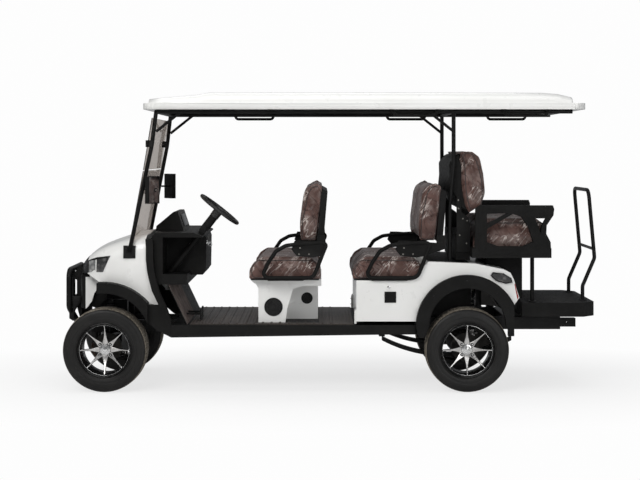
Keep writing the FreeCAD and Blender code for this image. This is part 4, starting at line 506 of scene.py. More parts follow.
def wire(form, points, radius, closed=False):
    """A round bar along a row of points."""
    curve = bpy.data.curves.new("wire", "CURVE")
    curve.dimensions = "3D"
    curve.bevel_depth = radius
    curve.bevel_resolution = 2
    curve.use_fill_caps = True
    line = curve.splines.new("POLY")
    line.points.add(len(points) - 1)
    for spot, place in zip(line.points, points):
        spot.co = (*place, 1)
    line.use_cyclic_u = closed
    thing = loose("wire", curve)
    form.from_mesh(thing.to_mesh())
    thing.to_mesh_clear()
    bpy.data.objects.remove(thing)
    bpy.data.curves.remove(curve)


def ring(corners, steps=96):
    """Spin a closed outline of (across, radius) corners about the Y axis."""
    form = bmesh.new()
    spots = [form.verts.new((0, y, radius)) for y, radius in corners]
    edges = [form.edges.new(pair) for pair in zip(spots, spots[1:] + spots[:1])]
    bmesh.ops.spin(form, geom=spots + edges, axis=RIGHT, angle=math.tau, steps=steps,
                   use_merge=True)
    bmesh.ops.recalc_face_normals(form, faces=form.faces)
    return form


def rounded(form, edges, width, segments=2):
    return bmesh.ops.bevel(form, geom=edges, offset=width, offset_type="OFFSET",
                           segments=segments, profile=0.5, affect="EDGES", material=-1,
                           clamp_overlap=True)


def plate(form, corners, start, thick, axis="Y", bevel=0.0, segments=2):
    """Extrude an outline of (across, up) corners along an axis, and round its edges."""
    index = "XYZ".index(axis)
    spots = [form.verts.new((*corner[:index], start, *corner[index:])) for corner in corners]
    face = form.faces.new(spots)
    grown = bmesh.ops.extrude_face_region(form, geom=[face])
    moved = [part for part in grown["geom"] if isinstance(part, bmesh.types.BMVert)]
    step = Vector()
    step[index] = thick
    bmesh.ops.translate(form, verts=moved, vec=step)
    whole = set(spots + moved)
    if bevel:
        edges = [edge for edge in form.edges if whole.issuperset(edge.verts)]
        grown = rounded(form, edges, bevel, segments)
        whole = {spot for spot in whole if spot.is_valid} | set(grown["verts"])
    faces = {face for spot in whole for face in spot.link_faces}
    bmesh.ops.recalc_face_normals(form, faces=list(faces))
    return form


def drum(form, place, axis, radius, long, sides=24, top=None, bevel=0.0):
    """A round or many-sided peg whose foot is at place, its far rim rounded."""
    turn = axis.to_track_quat("Z", "Y").to_matrix().to_4x4()
    centre = Vector(place) + axis * long / 2
    grown = bmesh.ops.create_cone(form, cap_ends=True, segments=sides, radius1=radius,
                                  radius2=radius if top is None else top, depth=long,
                                  matrix=Matrix.Translation(centre) @ turn)
    if bevel:
        rim = [edge for spot in grown["verts"] for edge in spot.link_edges
               if all(abs((end.co - centre).dot(axis) - long / 2) < long / 50
                      for end in edge.verts)]
        rounded(form, list(set(rim)), bevel)


def bolt(form, place, axis, radius):
    """A six-sided head on a washer."""
    drum(form, place, axis, radius * 1.35, radius * 0.25, 20, bevel=radius * 0.08)
    drum(form, Vector(place) + axis * radius * 0.25, axis, radius * 0.95, radius * 0.8, 6,
         bevel=radius * 0.15)


def bolt_row(form, places, side, radius):
    """Bolts in a left-hand face, at (along, up) places."""
    for along, up in places:
        bolt(form, (along, side, up), LEFT, radius)


def shifted(corners, across, up=0.0):
    return [(across + corner[0], up + corner[1]) for corner in corners]


def oblong(near, low, far, high):
    return [(near, low), (far, low), (far, high), (near, high)]


def arc(centre, radius, first, last, steps):
    """Points along part of a circle, the angles in degrees from the nose-to-tail line."""
    turns = (math.radians(first + (last - first) * step / steps) for step in range(steps + 1))
    return [(centre[0] + radius * math.cos(turn), centre[1] + radius * math.sin(turn))
            for turn in turns]


# Wheels
TREAD_STEPS = 168
TYRE_HALF = 0.127
WALL_OUTLINE = [
    (0.100, 0.1865), (0.1005, 0.1985), (0.1135, 0.2005), (0.1175, 0.207), (0.1225, 0.2115),
    (0.1245, 0.220), (0.1262, 0.2215), (0.1268, 0.2355), (0.1255, 0.237), (0.1262, 0.2385),
    (0.126, 0.254), (0.1235, 0.2695), (0.1215, 0.271), (0.1205, 0.279), (0.1165, 0.2885),
    (0.109, 0.2965)]
CROWN_HALF = 0.1
CROWN_DROP = 0.0042
GROOVE_PITCH = 0.036
GROOVE = [(0.0045, 0), (0.0035, -0.008), (-0.0035, -0.008), (-0.0045, 0)]
TREAD_DEEP = 0.011
LAND_DEEP = 0.0075
NOTCH_EVERY = 4
NOTCH_DEEP = 0.0055
NOTCH_EDGE = 0.0009
BARREL_OUTLINE = [
    (0.108, 0.1985), (0.1095, 0.195), (0.105, 0.1905), (0.1, 0.1875), (0.097, 0.1815),
    (0.086, 0.1795), (0.02, 0.1745), (-0.09, 0.1745), (-0.104, 0.1785), (-0.108, 0.186),
    (-0.108, 0.1985), (-0.1, 0.1985), (-0.099, 0.1862), (0.099, 0.1862), (0.1, 0.1985)]
LIP_OUTLINE = [
    (0.0985, 0.181), (0.0998, 0.1808), (0.1, 0.18), (0.0993, 0.1793), (0.098, 0.1798)]
HUB_OUTLINE = [
    (0.0, 0.021), (0.0, 0.05), (0.046, 0.05), (0.052, 0.046), (0.054, 0.034), (0.05, 0.0325),
    (0.046, 0.021)]
CAP_OUTLINE = [
    (0.048, 0.0), (0.048, 0.04), (0.058, 0.0405), (0.0625, 0.037), (0.0645, 0.029),
    (0.0665, 0.0275), (0.0675, 0.019), (0.0665, 0.0175), (0.069, 0.0155), (0.0705, 0.007),
    (0.071, 0.0)]
SPOKES = 8
SPOKE_ROOT = 0.05
SPOKE_RUN = 0.124
SPOKE_FACE = 0.056
SPOKE_RISE = 0.042
SPOKE_BEND = 1.3
SPOKE_SPREAD_SHARE = 1.1
SPOKE_BEVEL = 0.0008
SPOKE_SHARP = 0.6
SPOKE_HALVES = [
    (0.038, 0.0135), (0.049, 0.0185), (0.06, 0.0165), (0.073, 0.0128), (0.088, 0.0094),
    (0.108, 0.0064), (0.13, 0.0045), (0.153, 0.0034), (0.1765, 0.0029)]
BLACK_GROW, BLACK_SINK, BLACK_DEEP = 0.0022, -0.0012, 0.014
FACE_PROUD, FACE_DEEP = 0.0004, 0.002
STUD_REACH = 0.1745
STUD_RADIUS = 0.0056
STUD_PROUD = 0.0008
NUT_REACH = 0.0525


def tyre_form(radius):
    """A road tyre: ribs and cross grooves on the tread, rings on the wall."""
    crown = [(CROWN_HALF, radius - CROWN_DROP)]
    for middle in (GROOVE_PITCH * 2, GROOVE_PITCH):
        top = radius - CROWN_DROP * (middle / CROWN_HALF) ** 2
        crown += shifted(GROOVE, middle, top)
    half = WALL_OUTLINE + crown + shifted(GROOVE[:2], 0, radius)
    form = ring(half + [(-across, up) for across, up in reversed(half)], TREAD_STEPS)
    notches = []
    for face in form.faces:
        spot = face.calc_center_median()
        reach = math.hypot(spot.x, spot.z)
        if reach < radius - TREAD_DEEP or abs(face.normal.y) > SIDEWAYS:
            continue
        face.material_index = 1
        step = int((math.atan2(spot.z, spot.x) / math.tau + 0.5) * TREAD_STEPS)
        rib = int((spot.y + TYRE_HALF) / GROOVE_PITCH)
        if reach > radius - LAND_DEEP and (step + 2 * rib) % NOTCH_EVERY == 0:
            notches.append(face)
    sunk = bmesh.ops.inset_individual(form, faces=notches, thickness=NOTCH_EDGE,
                                      depth=-NOTCH_DEEP, use_even_offset=False)
    for face in sunk["faces"]:
        face.material_index = 1
    return form


def spoke_face(reach):
    """How far out the spokes' front face lies at a radius."""
    share = max(0.0, min(1.0, (reach - SPOKE_ROOT) / SPOKE_RUN))
    return SPOKE_FACE + SPOKE_RISE * share ** SPOKE_BEND


def spoke_form(grow, start, deep):
    """One spoke from a row of sections, each a flat face with its sides drawn in below."""
    form = bmesh.new()
    rows = []
    for reach, half in SPOKE_HALVES:
        top = spoke_face(reach) + start
        spread = half + grow
        foot = spread * SPOKE_SPREAD_SHARE
        corners = [(-spread, top), (spread, top), (foot, top - deep), (-foot, top - deep)]
        rows.append([form.verts.new((*corner, reach)) for corner in corners])
    for near, far in zip(rows, rows[1:]):
        for index in range(4):
            form.faces.new([near[index - 1], near[index], far[index], far[index - 1]])
    form.faces.new(rows[0])
    form.faces.new(rows[-1][::-1])
    bmesh.ops.recalc_face_normals(form, faces=form.faces)
    edges = [edge for edge in form.edges if edge.calc_face_angle(0) > SPOKE_SHARP]
    rounded(form, edges, SPOKE_BEVEL, 1)
    return form


def star_forms():
    """Black spokes with their hub, the machined faces, and the bright cap, studs and nuts."""
    black = around(spoke_form(BLACK_GROW, BLACK_SINK, BLACK_DEEP), SPOKES)
    add_form(black, ring(HUB_OUTLINE, 48))
    face = around(spoke_form(0.0, FACE_PROUD, FACE_DEEP), SPOKES)
    bright = ring(CAP_OUTLINE, 48)
    nuts = bmesh.new()
    drum(nuts, (0, 0.0585, NUT_REACH), RIGHT, 0.0055, 0.007, 6, bevel=0.001)
    cups = bmesh.new()
    drum(cups, (0, 0.0565, NUT_REACH), RIGHT, 0.0115, 0.0035, 20, bevel=0.001)
    add_form(black, around(cups, SPOKES // 2, math.tau / SPOKES))
    studs = bmesh.new()
    stud_place = (0, spoke_face(STUD_REACH) + STUD_PROUD, STUD_REACH)
    bmesh.ops.create_uvsphere(studs, u_segments=12, v_segments=8, radius=STUD_RADIUS,
                              matrix=Matrix.Translation(stud_place))
    add_form(bright, around(studs, SPOKES))
    add_form(bright, around(nuts, SPOKES // 2, math.tau / SPOKES))
    return ("star", "gloss", black), ("star_faces", "machined", face), ("hub_cap", "bright", bright)


def add_wheel(end, hand):
    """A tyre and the pieces of its rim, made at the origin and moved out to their axle."""
    tyre, rim = f"{end}_tyre_{hand}", f"{end}_rim_{hand}"
    low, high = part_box(tyre)
    place = Matrix.Translation((low + high) / 2)
    if hand == "left":
        place = place @ Matrix.Rotation(math.pi, 4, "Z")

    def fit_wheel(name, form, node, *finishes, smooth=38):
        form.transform(place)
        return fit(f"{end}_{name}_{hand}", form, node, *finishes, smooth=smooth)

    form = tyre_form((high.z - low.z) / 2)
    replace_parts(fit_wheel("tread_tyre", form, tyre, "rubber", "tread", smooth=30), tyre)
    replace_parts(fit_wheel("barrel", ring(BARREL_OUTLINE), rim, "gloss"), rim)
    fit_wheel("lip_ring", ring(LIP_OUTLINE), rim, "bright")
    for name, finish, form in star_forms():
        fit_wheel(name, form, rim, finish, smooth=25)


def add_wheels():
    for end in ("front", "rear"):
        add_wheel(end, "left")
        add_wheel(end, "right")


# Seats
CELL = 0.0125
INSET = 0.008
SWELL_CAP = 0.024
PRESSURE = 4
CLOTH_QUALITY = 4
CLOTH_STEPS = 20
PRESS = 0.006
CREASE_DEEP = 0.0028
RIDGE_GAIN = 2.2
FINE_SCALE, FINE_SHARE = 2.1, 0.6
WELT = 0.0035
WELT_STEP = 0.02
WELT_PASSES = 4
WELT_INSET_SHARE = 0.035
MIDDLE_SEAM = (0.5, 0.014, 0.016)
SIDE_SEAMS = [(share, 0.007, 0.005) for share in (0.12, 0.38, 0.62, 0.88)]


def crease(spot, seed):
    """The height of the film's creases at a place: long ridges that fan and fade."""
    bent = Vector((spot.x * 6 + seed, spot.y * 5, spot.z * 6))
    slant = Vector(((spot.x + spot.z) * 14, spot.y * 4 + seed, (spot.z - spot.x) * 5))
    ridge = 1 - abs(noise.noise(slant)) * RIDGE_GAIN
    small = 1 - abs(noise.noise(slant * FINE_SCALE + Vector((3, 1, 7)))) * RIDGE_GAIN
    where = 0.5 + 0.6 * noise.noise(bent)
    return (max(0.0, ridge) ** 3 + FINE_SHARE * max(0.0, small) ** 3) * where


def taken(thing):
    """The mesh that an object's modifiers make, and the object removed."""
    picture = bpy.context.evaluated_depsgraph_get()
    mesh = bpy.data.meshes.new_from_object(thing.evaluated_get(picture))
    bpy.data.objects.remove(thing)
    return mesh


def skin_for(node):
    """An even, slightly smaller skin of a pad's solid."""
    thing = loose("pad", mesh_of("pad", merged(node)))
    cells = thing.modifiers.new("cells", "REMESH")
    cells.mode = "VOXEL"
    cells.voxel_size = CELL
    mesh = taken(thing)
    form = form_of(mesh)
    form.normal_update()
    for spot in form.verts:
        spot.co -= spot.normal * INSET
    bmesh.ops.smooth_vert(form, verts=form.verts, factor=0.5, use_axis_x=True, use_axis_y=True,
                          use_axis_z=True)
    form.to_mesh(mesh)
    form.free()
    return mesh


def filled(node, fixed):
    """A pad's skin swollen by its filling; fixed is the axis and end of its held side."""
    mesh = skin_for(node)
    rest = [spot.co.copy() for spot in mesh.vertices]
    thing = loose("pad", mesh)
    axis, side = fixed
    reach = [place[axis] for place in rest]
    edge = min(reach) if side < 0 else max(reach)
    held = thing.vertex_groups.new(name="held")
    held.add([number for number, place in enumerate(rest)
              if abs(place[axis] - edge) < CELL], 1, "REPLACE")
    cloth = thing.modifiers.new("cloth", "CLOTH").settings
    cloth.quality = CLOTH_QUALITY
    cloth.use_pressure = True
    cloth.uniform_pressure_force = PRESSURE
    cloth.vertex_group_mass = "held"
    cloth.effector_weights.gravity = 0
    for number in range(1, CLOTH_STEPS + 1):
        scene.frame_set(number)
    mesh = taken(thing)
    scene.frame_set(1)
    for spot, place in zip(mesh.vertices, rest):
        move = spot.co - place
        if move.length > SWELL_CAP:
            spot.co = place + move.normalized() * SWELL_CAP
    return mesh


def fitted(mesh, node, fixed):
    """The pad's form drawn to its solid's size and place, and pressed onto its held side."""
    low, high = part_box(node)
    held, side = fixed
    if side < 0:
        low[held] -= PRESS
    else:
        high[held] += PRESS
    form = form_of(mesh)
    for axis in range(3):
        reach = [spot.co[axis] for spot in form.verts]
        start, scale = min(reach), (high[axis] - low[axis]) / (max(reach) - min(reach))
        for spot in form.verts:
            spot.co[axis] = low[axis] + (spot.co[axis] - start) * scale
    form.normal_update()
    return form


def sewn(form, node, seams, seed):
    """Seams drawn in along shares of the pad's width, and the film's creases over it all."""
    low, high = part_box(node)
    width = high.y - low.y
    for spot in form.verts:
        sink = 0.0
        for share, wide, deep in seams:
            away = abs((spot.co.y - low.y) / width - share) * width
            sink += deep * math.exp(-(away / wide) ** 2)
        spot.co = spot.co + spot.normal * (crease(spot.co, seed) * CREASE_DEEP - sink)
    form.normal_update()


def piping(name, node, skin):
    """A welt round each end of a pad, laid on its skin along the solid's end outline."""
    outline = merged(node)
    form = bmesh.new()
    for face in outline.faces:
        if abs(face.normal.y) < 0.99:
            continue
        spots = [spot.co.copy() for spot in face.verts]
        line = []
        for start, end in zip(spots, spots[1:] + spots[:1]):
            steps = max(1, round((end - start).length / WELT_STEP))
            line += [start.lerp(end, step / steps) for step in range(steps)]
        middle = sum(line, Vector()) / len(line)
        line = [skin.find_nearest(place.lerp(middle, WELT_INSET_SHARE))[0] for place in line]
        for _ in range(WELT_PASSES):
            line = [(before + here * 2 + after) / 4 for before, here, after
                    in zip(line[-1:] + line[:-1], line, line[1:] + line[:1])]
        wire(form, line, WELT, closed=True)
    outline.free()
    fit(name, form, node, "welt", smooth=60)


def add_pad(name, node, mesh, fixed, seed):
    form = fitted(mesh, node, fixed)
    sewn(form, node, [MIDDLE_SEAM] + SIDE_SEAMS, seed)
    piping(f"{name}_piping", node, BVHTree.FromBMesh(form))
    thing = fit(name, form, node, "seat", smooth=80)
    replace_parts(thing, node)
    finer = thing.modifiers.new("finer", "SUBSURF")
    finer.levels = finer.render_levels = 1


def add_seats():
    """Six pads; both forward rows share one cushion's mesh and one back's."""
    below, behind, ahead = (2, -1), (0, 1), (0, -1)
    cushion = filled("front_seat_cushion", below)
    back = filled("front_backrest", behind)
    for number, row in enumerate(("front", "second")):
        add_pad(f"{row}_seat_pad", f"{row}_seat_cushion", cushion, below, number * 3.7)
        add_pad(f"{row}_back_pad", f"{row}_backrest", back, behind, number * 5.1 + 1)
    add_pad("rear_seat_pad", "rear_seat_cushion", filled("rear_seat_cushion", below), below, 9.4)
    add_pad("rear_back_pad", "rear_backrest", filled("rear_backrest", ahead), ahead, 12.3)


# Nose
NOSE_BLACK_X = -1.815
BEAK_X = -1.785
BEAK_Z = 0.815
LENS_SHARES = (0.25, 0.5, 0.53)
BROW_START_SHARE = 0.7
BROW_PLACE_SHARE = 0.33
BROW_RISE = 0.343
GUARD_EDGE = 0.02
GUARD_PLATE = [(0, 0.664), (0.085, 0.664), (0.085, 0.622), (0.045, 0.56), (0.03, 0.48), (0, 0.5)]
GUARD_BOLTS = [(0.022, 0.63), (0.022, 0.58)]
GUARD_PLATE_IN = 0.026
BEAK_ARM = [
    (-0.11, -0.105), (-0.06, -0.06), (0.005, -0.02), (0.04, 0.03), (0.055, 0.02), (0.03, -0.11)]
BEAK_ARM_Y = -0.2
BEAK_ARM_THICK = 0.04
BASE_BOLTS = [(-1.486, 1.033), (-1.442, 0.99)]
FLARE_BOLTS = [
    (-1.545, 0.781), (-1.372, 0.687), (-1.62, 0.79), (0.735, 0.7), (0.975, 0.81), (1.19, 0.715)]
SLATS = 7
SLAT_STEPS = 12
SLAT_START_SHARE = 0.16
SLAT_RUN_SHARE = 0.62
SLAT_INSET = 0.05
SLAT_TALL = 0.014
SLAT_PROUD, SLAT_SUNK = 0.005, 0.004


def add_cowl():
    cuts = [((NOSE_BLACK_X, 0, 0), REARWARD), ((BEAK_X, 0, 0), REARWARD), ((0, 0, BEAK_Z), UPWARD)]
    zoned("front_cowl", ("white", "plastic"), cuts, lambda spot, normal: int(
        spot.x < NOSE_BLACK_X or (spot.x < BEAK_X and spot.z > BEAK_Z)))


def add_headlights():
    """Lamps behind a dark brow: a clear lens, a thin white bar and a smoked end."""
    low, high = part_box("headlights")
    long, tall = high.x - low.x, high.z - low.z

    def part_of_lamp(spot, normal):
        share = (spot.x - low.x) / long
        brow = BROW_START_SHARE + (share - BROW_PLACE_SHARE) * BROW_RISE
        if share < LENS_SHARES[0] or (spot.z - low.z) / tall > brow:
            return 0
        return 1 if share < LENS_SHARES[1] else 2 if share < LENS_SHARES[2] else 3

    cuts = [((low.x + share * long, 0, 0), REARWARD) for share in LENS_SHARES]
    brow = (low.x + BROW_PLACE_SHARE * long, 0, low.z + BROW_START_SHARE * tall)
    cuts.append((brow, (-BROW_RISE * tall, 0, long)))
    zoned("headlights", ("gloss", "lens", "white", "smoke"), cuts, part_of_lamp)


def add_nose_parts():
    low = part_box("brush_guard")[0]
    front = low.x + GUARD_EDGE
    side = low.y + GUARD_PLATE_IN
    plates = plate(bmesh.new(), shifted(GUARD_PLATE, front), side, 0.012, bevel=0.003)
    fit("guard_plates", both(plates), "brush_guard", "steel")
    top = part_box("front_fascia")[1]
    beak = plate(bmesh.new(), shifted(BEAK_ARM, top.x, top.z), BEAK_ARM_Y, BEAK_ARM_THICK,
                 bevel=0.006)
    fit("beak_arms", both(beak), "front_fascia", "plastic")
    bolts = bmesh.new()
    bolt_row(bolts, shifted(GUARD_BOLTS, front), side, 0.007)
    bolt_row(bolts, BASE_BOLTS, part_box("canopy_frame")[0].y, 0.008)
    bolt_row(bolts, FLARE_BOLTS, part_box("wheel_arch_flares")[0].y + 0.001, 0.006)
    fit("body_bolts", both(bolts), "canopy_frame", "steel", smooth=25)


def add_grille():
    """Slats across the fascia, each laid along its curved face."""
    low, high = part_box("front_fascia")
    skin = skin_of("front_fascia")
    slats = bmesh.new()
    run = high.y - low.y - 2 * SLAT_INSET
    across = [low.y + SLAT_INSET + run * step / SLAT_STEPS for step in range(SLAT_STEPS + 1)]
    for number in range(SLATS):
        share = SLAT_START_SHARE + SLAT_RUN_SHARE * number / (SLATS - 1)
        z = low.z + share * (high.z - low.z)
        hits = [skin.ray_cast(Vector((low.x - 1, y, z + SLAT_TALL / 2)), REARWARD)[0]
                for y in across]
        spots = [spot for spot in hits if spot]
        if len(spots) > 2:
            plate(slats, [(spot.x - SLAT_PROUD, spot.y) for spot in spots]
                  + [(spot.x + SLAT_SUNK, spot.y) for spot in reversed(spots)], z, SLAT_TALL,
                  "Z", 0.0015, 1)
    fit("grille_slats", slats, "front_fascia", "gloss")


# Dashboard, steering and pedals
DASH_SHELF = 0.376
SCREEN = oblong(-0.15, -0.045, 0.15, 0.045)
SCREEN_PLACE = (-1.123, 0, 1.222)
SCREEN_TURN = -0.317
SWITCHES = 4
SWITCH_Y = -0.16
SWITCH_PITCH = 0.055
SWITCH_WIDE = 0.032
SWITCH_LOW, SWITCH_HIGH = 1.06, 1.105
KEY_Y, KEY_Z = -0.235, 1.06
KEY_BLADE = [(0.012, -0.004), (0.036, -0.01), (0.036, 0.01), (0.012, 0.004)]
KEY_RING = 0.014
KEY_RING_STEPS = 20
COLUMN_AXIS = Vector((0.615661, 0, 0.788011)).normalized()
WHEEL_HUB = Vector((-0.829, -0.33, 1.312))
CLAMP_DOWN = 0.185
CLAMP_CHEEK = [(-0.03, -0.055), (0.01, -0.03), (0.022, 0.02), (-0.005, 0.045), (-0.035, 0)]
CLAMP_HALF = 0.042
LEVER_UP = 0.02
PEDAL_PLACES = (-0.33, -0.19)
PEDAL_RIB = [(-0.03, 0), (0.03, 0), (0.028, 0.007), (-0.028, 0.007)]
PEDAL_RIBS = 5
PEDAL_RIB_PITCH = 0.0145


def add_dash():
    low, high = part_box("dashboard")
    shelf = low.z + DASH_SHELF
    zoned("dashboard", ("plastic", "grey"), [((0, 0, shelf), UPWARD)],
          lambda spot, normal: int(normal.x > 0.5 and spot.z > shelf), 0.006)
    screen = plate(bmesh.new(), SCREEN, 0, 0.006, "X", 0.002)
    screen.transform(Matrix.Translation(SCREEN_PLACE) @ Matrix.Rotation(SCREEN_TURN, 4, "Y"))
    fit("dash_screen", screen, "dashboard", "gloss")
    switches = bmesh.new()
    for number in range(SWITCHES):
        y = SWITCH_Y + number * SWITCH_PITCH
        plate(switches, oblong(y, SWITCH_LOW, y + SWITCH_WIDE, SWITCH_HIGH), high.x - 0.012,
              0.016, "X", 0.003)
    fit("dash_switches", switches, "dashboard", "grey")
    key = bmesh.new()
    barrel = Vector((high.x - 0.008, KEY_Y, KEY_Z))
    drum(key, barrel, REARWARD, 0.016, 0.014, bevel=0.002)
    plate(key, shifted(KEY_BLADE, barrel.x, barrel.z), barrel.y - 0.0015, 0.003)
    turns = [step * math.tau / KEY_RING_STEPS for step in range(KEY_RING_STEPS)]
    wire(key, [barrel + Vector((0.036 + KEY_RING * math.sin(turn), 0,
                                -0.01 + KEY_RING * math.cos(turn))) for turn in turns],
         0.0012, closed=True)
    fit("ignition_key", key, "dashboard", "bright")


def add_steering():
    """The column's clamp with its tilt lever, and the horn cap."""
    clamp = bmesh.new()
    place = WHEEL_HUB - COLUMN_AXIS * CLAMP_DOWN
    lever = place + COLUMN_AXIS * LEVER_UP
    drum(clamp, place, COLUMN_AXIS, 0.031, 0.05, 8, bevel=0.005)
    drum(clamp, lever, RIGHT, 0.007, 0.13, 16, top=0.005)
    drum(clamp, lever + RIGHT * 0.12, RIGHT, 0.011, 0.032, 16, bevel=0.003)
    plate(clamp, shifted(CLAMP_CHEEK, place.x, place.z), place.y - CLAMP_HALF, 2 * CLAMP_HALF,
          bevel=0.006)
    fit("column_clamp", clamp, "steering_column", "plastic")
    cap = bmesh.new()
    drum(cap, WHEEL_HUB - COLUMN_AXIS * 0.004, COLUMN_AXIS, 0.034, 0.012, 40, top=0.026,
         bevel=0.002)
    fit("horn_cap", cap, "steering_wheel", "gloss")


def add_pedal_ribs():
    low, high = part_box("pedals")
    ribs = bmesh.new()
    for y in PEDAL_PLACES:
        for number in range(PEDAL_RIBS):
            z = low.z + 0.008 + number * PEDAL_RIB_PITCH
            plate(ribs, shifted(PEDAL_RIB, y, z), high.x - 0.001, 0.0045, "X", 0.001)
    fit("pedal_ribs", ribs, "pedals", "grip")


# Floor, seat pod and rear body
LINING_Y = 0.1
TOE_CLEAR = 0.01
SPEAKERS = [(-0.425, 0.605, 0.067), (-0.183, 0.642, 0.043)]
INNER_SPEAKER_Y = -0.2
SPEAKER_RINGS = ((1.0, 0.006), (0.72, 0.0025), (0.42, 0.0025))
ARCH_PLACE = (0.978, 0.479)
ARCH_REACH = 0.385
ARCH_TOP = 0.86
LINER_REACH = 0.372
DECK_HALF = 0.54
DECK_END = 1.0
WALL_Y = -0.362
WALL_FEET = [(0.62, 0.55), (1.03, 0.55)]
GUARD_FEET = [(1.105, 0.606), (1.16, 0.606), (1.24, 0.59)]
WALL_THICK = 0.004
NOSE_WALL_Y = -0.326
NOSE_WALL = [
    (-1.8, 0.6), (-1.735, 0.578), (-1.7, 0.62), (-1.665, 0.645), (-1.665, 0.76), (-1.79, 0.76)]
LOCK_X, LOCK_Z = 0.411, 0.759
KEYHOLE = [(-0.007, -0.005), (-0.005, -0.007), (0.007, 0.005), (0.005, 0.007)]
SOCKET_CLEAR = 0.005
REFLECTOR = [
    (1.3195, 0.782), (1.3255, 0.785), (1.3325, 0.748), (1.349, 0.69), (1.346, 0.668),
    (1.339, 0.682)]
KICK_PLATE = [(-0.014, 0.494), (0.001, 0.494), (0.001, 0.598), (-0.006, 0.598), (-0.014, 0.58)]
KICK_SCREWS = (0.52, 0.565)
TAIL_LENS_Y = 0.6


def add_floor():
    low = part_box("floor_mat")[0]

    def lined(spot, normal):
        toe_board = normal.x > 0.3 and spot.z > low.z and spot.x < low.x - TOE_CLEAR
        return int(toe_board and spot.y < LINING_Y)

    zoned("floor_pan", ("plastic", "carpet"),
          [((0, 0, low.z), UPWARD), ((0, LINING_Y, 0), RIGHT)], lined, 0.003)


def add_speakers():
    """Three rings round each speaker's cloth."""
    sides = (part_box("speakers")[0].y, INNER_SPEAKER_Y)
    rings = bmesh.new()
    for (x, z, radius), y in zip(SPEAKERS, sides):
        for share, thick in SPEAKER_RINGS:
            outer = radius * share
            band = ring([(-0.001, outer - thick), (-0.0035, outer - thick * 0.8),
                         (-0.0035, outer - thick * 0.2), (-0.001, outer),
                         (0.003, outer), (0.003, outer - thick)], 56)
            bmesh.ops.translate(band, verts=band.verts, vec=(x, y, z))
            add_form(rings, band)
    fit("speaker_rings", both(rings), "speakers", "plastic")


def add_body():
    """The white tub, black on its deck and in its wheel arches, with the arches' inner walls."""
    def part_of_body(spot, normal):
        reach = math.hypot(spot.x - ARCH_PLACE[0], spot.z - ARCH_PLACE[1])
        in_arch = abs(normal.y) < 0.3 and reach < ARCH_REACH and spot.z < ARCH_TOP
        on_deck = normal.z > 0.7 and abs(spot.y) < DECK_HALF and spot.x < DECK_END
        return int(in_arch or on_deck)

    cuts = [((0, DECK_HALF, 0), RIGHT), ((0, -DECK_HALF, 0), RIGHT), ((DECK_END, 0, 0), REARWARD)]
    zoned("rear_body", ("white", "plastic"), cuts, part_of_body, 0.003)
    walls = bmesh.new()
    plate(walls, arc(ARCH_PLACE, LINER_REACH, 82, 168, 12) + WALL_FEET, WALL_Y, WALL_THICK,
          bevel=0.001)
    plate(walls, NOSE_WALL, NOSE_WALL_Y, WALL_THICK, bevel=0.001)
    fit("arch_walls", both(walls), "chassis_frame", "plastic")
    guards = plate(bmesh.new(), arc(ARCH_PLACE, LINER_REACH, 15, 70, 8) + GUARD_FEET, WALL_Y,
                   WALL_THICK, bevel=0.001)
    fit("mud_guards", both(guards), "chassis_frame", "grey")


def add_lock_and_socket():
    """The round lock above the charge flap, and the socket behind it."""
    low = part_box("rear_body")[0]
    lock = bmesh.new()
    drum(lock, (LOCK_X, low.y, LOCK_Z), LEFT, 0.0125, 0.0025, 32, bevel=0.0008)
    plate(lock, shifted(KEYHOLE, LOCK_X, LOCK_Z), low.y - 0.0042, 0.002)
    fit("lock_face", lock, "rear_body", "bright")
    flap_low, flap_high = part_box("charge_flap")
    middle = (flap_low + flap_high) / 2
    back = skin_of("rear_body").ray_cast(Vector((middle.x, -1, middle.z)), RIGHT)[0]
    deep = back.y - flap_high.y - SOCKET_CLEAR
    socket = bmesh.new()
    drum(socket, back, LEFT, 0.027, deep / 2, 32, bevel=0.001)
    drum(socket, back, LEFT, 0.017, deep, 32, bevel=0.001)
    fit("charge_socket", socket, "rear_body", "plastic")


def add_body_trim():
    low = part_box("rear_body")[0]
    lens = plate(bmesh.new(), REFLECTOR, low.y + 0.001, 0.004, bevel=0.001)
    fit("side_reflectors", both(lens), "rear_body", "red")
    kick = plate(bmesh.new(), shifted(KICK_PLATE, low.x), low.y + 0.014, 0.1, bevel=0.003)
    fit("kick_plates", both(kick), "rear_body", "white")
    screws = bmesh.new()
    for z in KICK_SCREWS:
        bolt(screws, (low.x + KICK_PLATE[0][0], low.y + 0.06, z), FORWARD, 0.0045)
    fit("kick_screws", both(screws), "rear_body", "steel", smooth=25)
    bezelled("tail_lights", ("gloss", "smoke"), 0.009, lambda face: abs(face.normal.y) > SIDEWAYS
             and abs(face.calc_center_median().y) > TAIL_LENS_Y)
    stand_in("charge_flap", merged("charge_flap"), ("plastic",), 0.0012)


# Seat frames and footplate
RECLINER_BOLTS = [
    (0.925, 1.385), (0.926, 1.325), (0.958, 1.25), (0.99, 1.235), (0.935, 1.13), (0.985, 1.07)]
RECLINER_Y = -0.488
BRACKET_BOLTS = [(0.352, 0.192), (0.424, 0.192), (0.359, 0.237)]
BRACKET_IN = 0.0105
SEAT_BOLT = 0.0045
TRAY_START = 1.035
TRAY_LINES = (0.986, 1.0)
ARMREST_LINES = (1.06, 1.105)
ARMREST_LOW, ARMREST_HIGH = 1.02, 1.3
PLATE_TOP = 0.638
RIBS = 20
RIB_REACH = 0.41
RIB_TRIM_START = 0.36
RIB_HALF = 0.006
HOOP_FOOT = Vector((1.866, -0.3, PLATE_TOP))
STRUT_FOOT = Vector((1.474, -0.42, PLATE_TOP))
FLANGE_THICK = 0.007
FLANGE_BOLTS = 3
FLANGE_BOLT_REACH = 0.025


